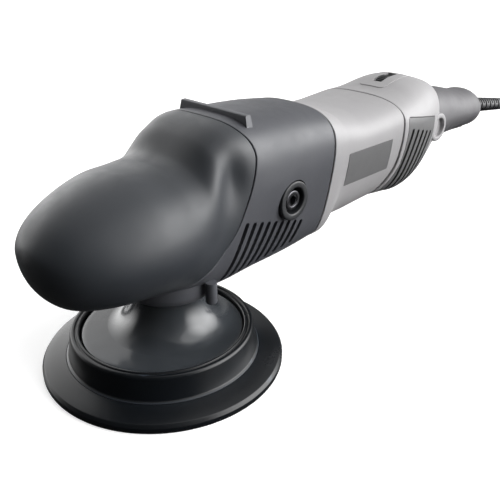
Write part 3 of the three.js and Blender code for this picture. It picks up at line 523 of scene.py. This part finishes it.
def cut(mesh, cutters, operation="DIFFERENCE"):
    """The mesh less the cutters, or joined or shared with them."""
    scene = bpy.context.scene.collection
    target = bpy.data.objects.new("target", mesh)
    tool = bpy.data.objects.new("tool", merged(cutters))
    scene.objects.link(target)
    scene.objects.link(tool)
    boolean = target.modifiers.new("cut", "BOOLEAN")
    boolean.operation = operation
    boolean.solver = "EXACT"
    boolean.object = tool
    graph = bpy.context.evaluated_depsgraph_get()
    made = bpy.data.meshes.new_from_object(target.evaluated_get(graph))
    bpy.data.objects.remove(target)
    bpy.data.objects.remove(tool)
    return made


def fillet(corners, closed=True, steps=4):
    """Points of an outline whose corners (a, b, radius) are rounded; the radius may be left out."""
    points = []
    count = len(corners)
    for i, corner in enumerate(corners):
        here = Vector(corner[:2])
        radius = corner[2] if len(corner) > 2 else 0
        if not radius or (not closed and i in (0, count - 1)):
            points.append(tuple(here))
            continue
        back = (Vector(corners[i - 1][:2]) - here).normalized()
        ahead = (Vector(corners[(i + 1) % count][:2]) - here).normalized()
        half = back.angle(ahead) / 2
        centre = here + (back + ahead).normalized() * (radius / math.sin(half))
        start = here + back * (radius / math.tan(half)) - centre
        turn = start.angle_signed(here + ahead * (radius / math.tan(half)) - centre)
        for k in range(steps + 1):
            swung = Matrix.Rotation(-turn * k / steps, 2) @ start
            points.append(tuple(centre + swung))
    return points


def lathe(name, profile, centre=(0, 0, 0), axis="z", sides=96, shape=None):
    """A solid of revolution from (radius, height) points; shape(angle, radius, height) may vary it."""
    count = len(profile)
    closed = not (profile[0][0] == 0 and profile[-1][0] == 0)
    points = []
    for i in range(sides):
        angle = 2 * math.pi * i / sides
        for radius, height in profile:
            if shape:
                radius, height = shape(angle, radius, height)
            a, b = radius * math.cos(angle), radius * math.sin(angle)
            where = {"z": (a, b, height), "y": (a, height, b), "x": (height, a, b)}[axis]
            points.append([p + c for p, c in zip(where, centre)])
    faces = []
    for i in range(sides):
        for j in range(count if closed else count - 1):
            a, b = i * count + j, i * count + (j + 1) % count
            shift = ((i + 1) % sides - i) * count
            faces.append((a, b, b + shift, a + shift))
    return new_mesh(name, points, faces)


def prism(outline, low, high, axis="x"):
    """An outline extruded along an axis: (y, z) along x, (x, z) along y, (x, y) along z."""
    count = len(outline)
    place = "xyz".index(axis)
    points = [(*pair[:place], t, *pair[place:]) for t in (low, high) for pair in map(tuple, outline)]
    faces = [tuple(range(count)), tuple(range(count, 2 * count))]
    for i in range(count):
        j = (i + 1) % count
        faces.append((i, j, j + count, i + count))
    return new_mesh("prism", points, faces)


def drum(axis, radius, start, length, sides=64):
    """A cylinder from one point along an axis."""
    at = {"x": (start[1], start[2]), "y": (start[0], start[2]), "z": (start[0], start[1])}[axis]
    low = start["xyz".index(axis)]
    angles = [2 * math.pi * i / sides for i in range(sides)]
    outline = [(at[0] + radius * math.cos(t), at[1] + radius * math.sin(t)) for t in angles]
    return prism(outline, low, low + length, axis)


def capsule(a, b, width, steps=8):
    """Outline of a slot with round ends between two points."""
    a, b = Vector(a), Vector(b)
    along = (b - a).normalized() * width / 2
    outline = []
    for centre, start in ((b, -90), (a, 90)):
        for k in range(steps + 1):
            turn = Matrix.Rotation(math.radians(start + 180 * k / steps), 2)
            outline.append(tuple(centre + turn @ along))
    return outline


def mirrored(mesh):
    """A copy on the other side of the middle plane."""
    copy = mesh.copy()
    copy.transform(Matrix.Scale(-1, 4, (1, 0, 0)))
    copy.flip_normals()
    return copy


def add_pair(name, mesh, node=None, **options):
    """The piece on both sides, left being +X."""
    for side, shape in (("left", mesh), ("right", mirrored(mesh))):
        piece(f"{name}_{side}", shape, node and f"{node}_{side}", **options)


# ---------------------------------------------------------------- body surfaces
def cubic(u, span, start, end, start_slope, end_slope):
    """A smooth run from start to end with given slopes, at shares u of the span."""
    return (
        (2 * u**3 - 3 * u**2 + 1) * start + (u**3 - 2 * u**2 + u) * span * start_slope
        + (3 * u**2 - 2 * u**3) * end + (u**3 - u**2) * span * end_slope)


def body_surface(stations, origin=None):
    """A function (y, angle, grow) -> points on the body, smooth through the stations.
    Near a pole at y = origin the fields run with the root of the distance, so the end is round."""
    table = np.array(stations, float)
    warp = (lambda y: np.sqrt(np.maximum(y - origin, 0))) if origin is not None else (lambda y: y)
    knots = warp(table[:, 0])
    slopes = np.zeros_like(table[:, 1:])
    for i in range(len(knots)):
        low, high = max(i - 1, 0), min(i + 1, len(knots) - 1)
        slopes[i] = (table[high, 1:] - table[low, 1:]) / (knots[high] - knots[low])

    def fields(y):
        t = warp(y)
        i = np.clip(np.searchsorted(knots, t, side="right") - 1, 0, len(knots) - 2)
        span = knots[i + 1] - knots[i]
        u = np.clip((t - knots[i]) / span, 0, 1)[..., None]
        span = span[..., None]
        return cubic(u, span, table[i, 1:], table[i + 1, 1:], slopes[i], slopes[i + 1])

    def at(y, angle, grow=0.0):
        half, foot, top, bottom, mid, crown, keel = np.moveaxis(fields(y), -1, 0)
        c, s = np.cos(angle), np.sin(angle)
        upper = s >= 0
        power = np.where(upper, crown, keel)
        reach = (np.abs(c) ** power + np.abs(s) ** power) ** (-1 / power)
        across, height = reach * c, reach * np.abs(s)
        soft = 0.15  # rounds the change from the widest line to the tapering keel
        taper = (np.sqrt(height**2 + soft**2) - soft) / (math.sqrt(1 + soft**2) - soft)
        width = half + np.where(upper, 0, (foot - half) * taper) + grow
        rise = np.where(upper, top - mid + grow, bottom - mid - grow)
        return np.stack([width * across, y, mid + rise * height], -1)

    return at


def with_normals(surface, y, angle):
    """Points on a surface and their outward normals."""
    step_y, step_a = 0.05, 0.002
    points = surface(y, angle)
    along = surface(y + step_y, angle) - surface(y - step_y, angle)
    around = surface(y, angle + step_a) - surface(y, angle - step_a)
    normals = np.cross(along, around)
    lengths = np.maximum(np.linalg.norm(normals, axis=-1, keepdims=True), 1e-9)
    return points, normals / lengths


def raised(surface, relief):
    """The surface moved along its normals by relief(x, y, z)."""
    def at(y, angle):
        points, normals = with_normals(surface, y, angle)
        return points + normals * relief(*np.moveaxis(points, -1, 0))[..., None]
    return at


def offset(surface, by):
    """The surface moved out along its normals."""
    def at(y, angle):
        points, normals = with_normals(surface, y, angle)
        return points + normals * by
    return at


def bell(distance, width):
    return np.exp(-((distance / width) ** 2))


def seam_y(seam):
    """A seam as a smooth function from height to y."""
    table = np.array(sorted((z, y) for y, z in seam), float)
    heights = np.linspace(table[0, 0], table[-1, 0], 400)
    slopes = np.gradient(table[:, 1], table[:, 0])
    i = np.clip(np.searchsorted(table[:, 0], heights, side="right") - 1, 0, len(table) - 2)
    span = table[i + 1, 0] - table[i, 0]
    u = (heights - table[i, 0]) / span
    places = cubic(u, span, table[i, 1], table[i + 1, 1], slopes[i], slopes[i + 1])
    return lambda z: np.interp(z, heights, places)


def where_seam(surface, seam, angles, low, high):
    """For each angle, the first y at which the surface crosses the seam."""
    line = seam_y(seam)
    ys = np.linspace(low, high, 600)
    grid_y, grid_a = np.meshgrid(ys, angles, indexing="ij")
    past = grid_y - line(surface(grid_y, grid_a)[..., 2])
    first = np.argmax(past > 0, axis=0)
    first = np.maximum(first, 1)
    columns = np.arange(len(angles))
    before, after = past[first - 1, columns], past[first, columns]
    share = np.clip(-before / np.maximum(after - before, 1e-9), 0, 1)
    return ys[first - 1] + share * (ys[first] - ys[first - 1])


EDGE_STEPS = (0, 0.12, 0.3, 0.55, 0.9, 1.5, 2.4)


def row_places(front, back, count, front_edge, back_edge):
    """Rows of y from front to back, with closer rows at a rounded edge, and the way to that edge."""
    low = EDGE_STEPS if front_edge else (0,)
    high = EDGE_STEPS if back_edge else (0,)
    inner = np.linspace(0, 1, count)[1:-1, None]
    start, stop = front + low[-1], back - high[-1]
    rows = [front + step for step in low]
    rows += list(start + (stop - start) * inner)
    rows += [back - step for step in reversed(high)]
    places = np.array([np.broadcast_to(row, np.shape(front + back)) for row in rows])
    edge = np.full(places.shape, 99.0)
    if front_edge:
        edge = np.minimum(edge, places - front)
    if back_edge:
        edge = np.minimum(edge, back - places)
    return places, edge


def shell(name, surface, front, back, rows=90, columns=192, wall=WALL, lip=0.7, edges=(True, True)):
    """A casing of one wall between two rims. A front of one value with no edge closes at a pole."""
    angles = np.linspace(0, 2 * math.pi, columns, endpoint=False)
    places, edge = row_places(front * np.ones(columns), back * np.ones(columns), rows, *edges)
    points, normals = with_normals(surface, places, np.broadcast_to(angles, places.shape))
    near = np.clip(lip - edge, 0, lip)
    outer = points - normals * (lip - np.sqrt(lip**2 - near**2))[..., None]
    inner = points - normals * wall
    count = len(places)
    index = np.arange(count * columns).reshape(count, columns)
    faces = []
    for grid, turn in ((index, 1), (index + count * columns, -1)):
        a, b = grid[:-1], np.roll(grid, -1, 1)[:-1]
        c, d = np.roll(grid, -1, 1)[1:], grid[1:]
        quads = np.stack([a, d, c, b] if turn > 0 else [a, b, c, d], -1).reshape(-1, 4)
        faces += quads.tolist()
    inside = index + count * columns
    for row, closed in ((0, not edges[0]), (count - 1, not edges[1])):
        if closed:
            faces += [tuple(index[row].tolist()), tuple(inside[row].tolist())]
            continue
        ring_out, ring_in = index[row], inside[row]
        rim = np.stack([ring_out, np.roll(ring_out, -1), np.roll(ring_in, -1), ring_in], -1)
        faces += rim.tolist()
    return new_mesh(name, np.concatenate([outer.reshape(-1, 3), inner.reshape(-1, 3)]), faces)


# ---------------------------------------------------------------- gear head
def hood_relief(x, y, z):
    """The hollow on each flank in front of the seam."""
    return -4.6 * bell(y - 26.5, 8.5) * bell(z - 124, 18) * np.clip(np.abs(x) / 30, 0, 1) ** 2


HEAD = raised(body_surface(HEAD_STATIONS, origin=HEAD_STATIONS[0][0]), hood_relief)
MOTOR = body_surface(MOTOR_STATIONS)
REAR = body_surface(REAR_STATIONS)
HANDLE = body_surface(HANDLE_STATIONS)
ANGLES = np.linspace(0, 2 * math.pi, 192, endpoint=False)
HOOD_EDGE = where_seam(HEAD, HOOD_SEAM, ANGLES, -60, 60)
MOTOR_EDGE = where_seam(MOTOR, MOTOR_SEAM, ANGLES, 170, 210)


def snout_hole():
    return drum("z", SNOUT_OPENING, (0, ORBIT_OFFSET, 38), 32, 96)


def add_hood():
    mesh = shell("hood", HEAD, HEAD_STATIONS[0][0] + 0.02, HOOD_EDGE, rows=110, edges=(False, True))
    piece("hood", cut(mesh, [snout_hole()]), "head_cover")


def cooling_slots():
    """Cutters for the slanted slots low on the side, which get shorter towards the back."""
    slots = []
    for i in range(COOLING["count"]):
        top = Vector((COOLING["first"] + COOLING["pitch"] * i, COOLING["top"] - 2.18 * i))
        foot = COOLING["foot"] + 0.6 * i
        lean = COOLING["lean"] * (foot - top.y)
        slots.append(prism(capsule(top, (top.x + lean, foot), COOLING["width"]), 27, 60))
    return slots


def screw_lug(degrees):
    angle = math.radians(degrees)
    at = (34.3 * math.cos(angle), ORBIT_OFFSET + 34.3 * math.sin(angle))
    profile = fillet(((0, 47.4), (3.6, 47.4, 1.6), (3.6, 62), (0, 62)), closed=False)
    return lathe("lug", profile, (*at, 0), sides=32)


def bar_mesh():
    """The hand stop bar: a thin ramp across the head with slanted ends."""
    low, high, front, back = (BAR[key] for key in ("low", "high", "front", "back"))
    section = fillet(((front, low), (back, low), (back - 0.8, high, 0.8), (front + 0.8, high, 0.8)))
    bar = prism(section, -BAR["half"], BAR["half"])
    end = prism(((27.6, high + 1), (30.2, low - 1), (60, low - 1), (60, high + 1)), 20, 80, "y")
    return cut(bar, [end, mirrored(end)])


def add_gear_housing():
    mesh = shell("gear_housing_skin", HEAD, HOOD_EDGE + SEAM_GAP, HEAD_END - 0.3, rows=110)
    port = drum("x", PORT["ring"] + 0.7, (20, PORT["y"], PORT["z"]), 40, 96)
    slots = cooling_slots()
    holes = [snout_hole(), port, mirrored(port), *slots, *[mirrored(s) for s in slots]]
    body = cut(mesh, holes)
    lugs = [screw_lug(degrees) for degrees in (7, 128, 248)]
    screen = prism(((31, 53), (100, 53), (100, 84), (35, 97)), 24.5, 25.5)
    piece("gear_housing_skin", merged([body, *lugs, screen, mirrored(screen)]), "gear_housing")


def add_bar():
    piece("hand_stop", bar_mesh(), "hand_stop_bar")


def port_ring():
    face = PORT["face"]
    profile = fillet((
        (PORT["bore"], 34.2), (PORT["ring"], 34.2), (PORT["ring"], face, 1.0), (PORT["bore"], face, 1.0)))
    ring = lathe("port", profile, (0, PORT["y"], PORT["z"]), "x", 96)
    radius = PORT["bore"] + 0.6
    cup = lathe(
        "cup", ((0, 32), (radius, 32), (radius, 34.2), (0, 34.2)), (0, PORT["y"], PORT["z"]), "x", 48)
    return merged([ring, cup])


def port_screw():
    """M8 cap head with a hexagon socket and a knurled rim."""
    def knurl(angle, radius, height):
        deep = 0.18 * (0.5 + 0.5 * math.cos(48 * angle)) if radius > 6 and height < 39.2 else 0
        return radius - deep, height
    profile = fillet((
        (0, 34.4), (6.6, 34.4), (6.6, 39.9, 0.9), (4.2, 39.9, 0.5), (3.9, 39.3), (0, 39.3)), closed=False)
    head = lathe("screw", profile, (0, PORT["y"], PORT["z"]), "x", 192, knurl)
    angles = [math.radians(60 * k + 12) for k in range(6)]
    hexagon = [(PORT["y"] + 3.5 * math.cos(t), PORT["z"] + 3.5 * math.sin(t)) for t in angles]
    return cut(head, [prism(hexagon, 36.2, 50)])


# ---------------------------------------------------------------- snout, shroud and pad


def add_snout():
    profile = fillet((
        (25.4, 49.4, 0.4), (27.8, 49, 1), (29.2, 50.4, 1), (29.9, 53, 1), (29.9, 64), (25.4, 64)))
    piece("snout_ring", lathe("snout_ring", profile, SPINDLE), "snout")


def add_shroud():
    """The shroud flares towards the disc like a trumpet."""
    angles = [math.radians(a) for a in np.linspace(0, 90, 48)]
    outer = [(42.5 - 20 * math.sin(a) ** 0.9, 49.25 - 26.6 * math.cos(a)) for a in angles]
    inner = [(21.9, 49.25), (21.9, 24.5), (30, 22.75)]
    piece("trumpet_shroud", lathe("trumpet_shroud", outer + inner, SPINDLE, sides=128), "spin_shroud",
          slot="gloss_disc")


def add_pad():
    face = fillet(((0, 0), (73.8, 0, 0.5), (73.8, 1.6), (0, 1.6)), closed=False)
    piece("hook_disc", lathe("hook_disc", face, sides=160), "hook_face", "pad")
    base = fillet((
        (0, 1.8), (74.3, 1.8), (74.3, 0), (76.9, 0, 0.8), (76.9, 3.6, 0.9), (75.4, 5.9, 0.8), (70, 7.1),
        (62, 8.5), (60, 7.0), (0, 7.0)), closed=False)
    piece("rubber_skirt", lathe("rubber_skirt", base, sides=192), "rubber_base", "pad")
    tier = fillet((
        (0, 7.3), (59.9, 7.3), (61.6, 8.5), (60.2, 9.5, 1.2), (58.0, 23.2, 0.6), (57.3, 24.7, 1.0),
        (55.4, 24.7, 0.5), (54.9, 23.7, 0.4), (54.1, 23.7, 0.4), (53.7, 24.5, 0.4), (52.4, 24.4, 0.6),
        (51.7, 21.0), (51.6, 17), (20, 15), (20, 12), (0, 12)), closed=False)
    piece("plate_tier", lathe("plate_tier", tier, sides=192), "backing_plate", "pad")
    hub = [(14.5 + 37 * t**0.8, 22.9 - 0.4 * t) for t in np.linspace(1, 0, 16)][1:]
    disc = fillet((
        (4.3, 12.3), (19.7, 12.3), (19.7, 15.3), (30, 19), (51.2, 19.5), (51.2, 22.2, 1.1), hub[0]),
        closed=False)
    neck = fillet((hub[-1], (12.4, 27), (11.8, 39.5, 0.8), (4.3, 39.5)), closed=False)
    piece("gloss_plate", lathe("gloss_plate", disc + hub[1:-1] + neck, sides=192), "hub_disc", "pad")


# ---------------------------------------------------------------- motor and rear housings
def side_patch(surface, outline, low, high, depth, proud):
    """The part of a body's left side inside an outline seen from the side."""
    sheet = shell("sheet", offset(surface, proud), low, high, rows=60, wall=depth + proud, lip=0.01)
    return cut(sheet, [prism(outline, 12, 70)], "INTERSECT")


def grown(outline, by):
    middle = sum((Vector(p) for p in outline), Vector((0, 0))) / len(outline)
    return [tuple(Vector(p) + (Vector(p) - middle).normalized() * by) for p in outline]


def rounded(outline, radius):
    return fillet([(*p, radius) for p in outline])


def add_motor_housing():
    mesh = shell("motor_barrel", MOTOR, HEAD_END + 0.35, MOTOR_EDGE, rows=80)
    pocket = side_patch(MOTOR, rounded(grown(BADGE, 0.45), 0.8), 128, 200, 0.9, 2)
    piece("motor_barrel", cut(mesh, [pocket, mirrored(pocket)]), "motor_housing")
    plate = side_patch(MOTOR, rounded(BADGE, 0.8), 128, 200, 0.85, 0.1)
    add_pair("badge_plate", plate, "badge")


def grille_mesh():
    panel = side_patch(REAR, rounded(GRILLE, 2.0), 192, 264, 2.2, 0.1)
    slots = []
    for i in range(6):
        head, foot = (215.2 + 8 * i, 111 - 2.2 * i), (206 + 6.6 * i, 58 + 1.2 * i)
        if i == 5:
            head = (250.5, 85)
        slots.append(prism(capsule(head, foot, 3.4, 5), 14, 70))
    return cut(panel, slots)


def corner_boss():
    """The round boss on a rear corner, with a blind recess."""
    radius, recess = BOSS["radius"], BOSS["recess"]
    profile = fillet((
        (0, 27), (radius, 27), (radius, 36, 1.4), (recess + 0.4, 36, 0.6), (recess, 33, 0.5), (0, 33)),
        closed=False)
    return lathe("boss", profile, (0, BOSS["y"], BOSS["z"]), "x", 64)


def add_rear_housing():
    mesh = shell("rear_shell", REAR, MOTOR_EDGE + 0.4, REAR_END, rows=90, lip=0.8)
    hole = side_patch(REAR, rounded(grown(GRILLE, 0.7), 2.5), 190.5, 268, 8, 8)
    window = prism(fillet([(-5, 222, 1), (5, 222, 1), (5, 250, 1), (-5, 250, 1)]), 118, 160, "z")
    body = cut(mesh, [hole, mirrored(hole), window])
    boss = corner_boss()
    piece("rear_shell", merged([body, boss, mirrored(boss)]), "rear_housing")
    # painted shade: a black sheet just inside the grille stands in for the shade deep in the vent slots
    screen = side_patch(REAR, grown(GRILLE, 1.5), 190.5, 268, 5.5, -3.6)
    add_pair("vent_shade_sheet", screen, slot="black_plastic")
    add_pair("vent_panel", grille_mesh(), "vent_grille")


def add_dial():
    outline = fillet([(-11, 216, 4), (11, 216, 4), (11, 254, 4), (-11, 254, 4)], steps=6)
    sheet = shell("sheet", offset(REAR, 0.5), 205, 262, rows=60, wall=1.6, lip=0.01)
    plate = cut(sheet, [prism(outline, 120, 170, "z")], "INTERSECT")
    mouth = fillet([(-4.2, 224.6, 1.2), (4.2, 224.6, 1.2), (4.2, 248, 1.2), (-4.2, 248, 1.2)])
    piece("dial_surround", cut(plate, [prism(mouth, 118, 170, "z")]), "dial_bezel")

    def ribs(angle, radius, height):
        return (radius - 0.5 * (0.5 - 0.5 * math.cos(36 * angle)) if radius > 10 else radius), height
    half = DIAL["width"] / 2
    profile = fillet(((2.3, -half), (DIAL["radius"], -half, 0.8), (DIAL["radius"], half, 0.8), (2.3, half)))
    wheel = lathe("dial_wheel", profile, (0, DIAL["y"], DIAL["z"]), "x", 288, ribs)
    piece("dial_wheel", wheel, "speed_dial", "speed_dial")


# ---------------------------------------------------------------- rear handle
def add_handle():
    mesh = shell("grip", HANDLE, REAR_END + 0.3, HANDLE_END - 0.5, rows=110, wall=3, lip=1.2)
    end = HANDLE_END - 0.6
    cap = lathe("grip_end", fillet((
        (6.7, end - 4), (14.5, end - 4), (13.4, end, 1.5), (9.4, end, 0.8), (8.9, end - 2, 0.4),
        (6.7, end - 2))), (0, 0, 90.5), "y", 96)
    mouth = TRIGGER["width"] / 2 + 0.6
    well = prism(fillet([
        (-mouth, 286, 2), (mouth, 286, 2), (mouth, 367.5, 3), (-mouth, 367.5, 3)]), 55, 86, "z")
    button = drum("x", LOCK["radius"] + 0.4, (-50, LOCK["y"], LOCK["z"]), 40)
    piece("grip", merged([cut(mesh, [well, button]), cap]), "rear_handle")


def add_trigger():
    half = TRIGGER["width"] / 2
    front, back = TRIGGER["front"], TRIGGER["back"]
    solid = shell("lever", offset(HANDLE, 0.8), front, back, rows=60, wall=5, lip=1.4)
    outline = fillet(((front, 60), (back, 60), (back, 79), (300, 85.5), (295, 88.5), (front, 88.5)))
    lever = cut(solid, [prism(outline, -half, half)], "INTERSECT")
    ribs = [drum("x", 1.1, (-20, y, 73), 40, 24) for y in range(338, 361, 5)]
    piece("paddle_lever", cut(lever, ribs), "trigger", "trigger")


def add_lock():
    profile = fillet((
        (0, -16.6), (5, -16.6), (5, -28.4, 1.2), (3.6, -28.4, 0.4), (3.2, -27.9), (0, -27.6)), closed=False)
    button = lathe("lock_cap", profile, (0, LOCK["y"], LOCK["z"]), "x", 64)
    piece("lock_cap", button, "lock_button", "lock_button")


# ---------------------------------------------------------------- power cord


def coil_points():
    """The turns run clockwise from above. Each steps to the next place over a short arc, the later
    turns first, so that none runs into the one before it."""
    per_turn, start, last = 24, 110, 110
    points = []
    total = (len(COIL_TURNS) - 1) * 360 + last
    for k in range(int(total / 360 * per_turn) + 1):
        run = 360 * k / per_turn
        turn = min(int(run // 360), len(COIL_TURNS) - 1)
        here = np.array(COIL_TURNS[turn], float)
        after = np.array(COIL_TURNS[min(turn + 1, len(COIL_TURNS) - 1)], float)
        step_at = 330 - 26 * turn
        share = min(max((run - 360 * turn - step_at + 14) / 28, 0), 1)
        column, layer = here + (after - here) * share * share * (3 - 2 * share)
        radius = COIL["outer"] - COIL["pitch"] * column
        angle = math.radians(start - run)
        points.append((
            COIL["x"] + radius * math.cos(angle), COIL["y"] + radius * math.sin(angle),
            CORD_DIAMETER / 2 + COIL["lift"] * layer))
    return points


def cord_tail():
    """From the last turn straight back into the plug's neck."""
    x, z = COIL["x"] + COIL["outer"] - 0.2, CORD_DIAMETER / 2 + COIL["lift"]
    return [(x, COIL["y"] - reach, z) for reach in (12, 24, 36, 42)]


def add_cord():
    curve = bpy.data.curves.new("mains_cord", "CURVE")
    curve.dimensions = "3D"
    curve.bevel_depth = CORD_DIAMETER / 2 * MM
    curve.bevel_resolution = 6
    curve.resolution_u = 4
    curve.use_fill_caps = True
    route = [*CORD_ROUTE, *coil_points(), *cord_tail()]
    spline = curve.splines.new("BEZIER")
    spline.bezier_points.add(len(route) - 1)
    for knot, place in zip(spline.bezier_points, route):
        knot.co = Vector(place) * MM
        knot.handle_left_type = knot.handle_right_type = "AUTO"
    cord = bpy.data.objects.new("mains_cord", curve)
    bpy.context.scene.collection.objects.link(cord)
    curve.materials.append(MATERIALS["cord_rubber"])
    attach(cord, "housing")
    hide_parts("power_cord", "cord_coil")
    return cord


def relief_mesh():
    """A tapered sleeve with staggered slots, so that it bends evenly."""
    length, collar, bore = RELIEF["length"], 9.5, 4.6
    first_slot, slot_pitch, slot_width, slot_rows = 13, 5.2, 2.4, 12

    def sleeve(angle, radius, height):
        if radius == bore:
            return radius, height
        if height < collar:
            return 6.4, height
        body = 7.3 - 1.5 * (height - collar) / (length - collar)
        row = math.floor((height - first_slot) / slot_pitch)
        inside = (height - first_slot) - row * slot_pitch
        turn = angle + (math.pi / 2 if row % 2 else 0)
        slotted = 0 <= row < slot_rows and inside < slot_width and abs(math.sin(turn)) > 0.42
        return body - (1.9 if slotted else 0), height

    profile = [(0, t) for t in np.linspace(0, length, 240)] + [(bore, length), (bore, 0)]
    mesh = lathe("relief_sleeve", profile, axis="y", sides=72, shape=sleeve)
    tilt = Matrix.Rotation(math.radians(-RELIEF["droop"]), 4, "X")
    mesh.transform(Matrix.Translation((0, RELIEF["y"] * MM, RELIEF["z"] * MM)) @ tilt)
    return mesh


def add_plug():
    """A moulded two-pin plug with a ribbed neck and finger grips."""
    x, y, z = COIL["x"] + COIL["outer"] - 0.25, COIL["y"] - 39.5, CORD_DIAMETER / 2 + COIL["lift"]
    def oval(angle, radius, height):
        neck_end = -20
        share = min(max((neck_end - height) / 8, 0), 1)
        squash = 1 + 0.35 * share
        gripped = -58 < height < -34 and abs(math.cos(angle)) > 0.6
        groove = 0.5 * (0.5 - 0.5 * math.cos(0.9 * height)) if gripped else 0
        return (radius - groove) * math.hypot(squash * math.cos(angle), math.sin(angle)), height
    neck = [(5.9 + 0.04 * k - (1.1 if k % 4 in (2, 3) else 0), -1.2 * k) for k in range(1, 20)]
    grip = [(12.5, -30 - k) for k in range(1, 29)]
    profile = [
        (4.6, 0), (5.6, 0), *neck, (8.5, -24.5), (11.4, -27), (12.3, -30), *grip,
        (12.3, -60.4), (11.6, -61.8), (0, -61.9), (0, -3), (4.6, -3)]
    body = lathe("plug_shell", profile[::-1], (x, y, z), "y", 96, oval)
    plug = piece("plug_shell", body, "plug_body")
    pins = []
    for node in ("plug_pin_right", "plug_pin_left"):
        low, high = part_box(node)
        middle = (low + high) / 2 / MM
        tip, root = low.y / MM, high.y / MM
        profile = fillet(((0, tip), (2.4, tip, 1.4), (2.4, root), (0, root)), closed=False)
        mesh = lathe("contact_pin", profile, (middle.x, 0, middle.z), "y", 40)
        pins.append(piece(node.replace("plug_pin", "contact_pin"), mesh, node))
    return [plug, *pins]


def declare_cord():
    cord = add_cord()
    relief = piece("relief_sleeve", relief_mesh(), "strain_relief", sharp=50)
    pieces = add_plug()


declare_cord()
add_hood()
add_gear_housing()
add_bar()
add_pair("port_collar", port_ring(), "handle_port")
add_pair("port_cap_screw", port_screw(), "port_screw")
add_snout()
add_shroud()
add_pad()
add_motor_housing()
add_rear_housing()
add_dial()
add_handle()
add_trigger()
add_lock()
dress_frame()
make_studio()
make_stage(
    glowing_paper("floor_paper", (0.75, 0.75, 0.75), 0.5),
    glowing_paper("backdrop_paper", (0, 0, 0), 1.0))
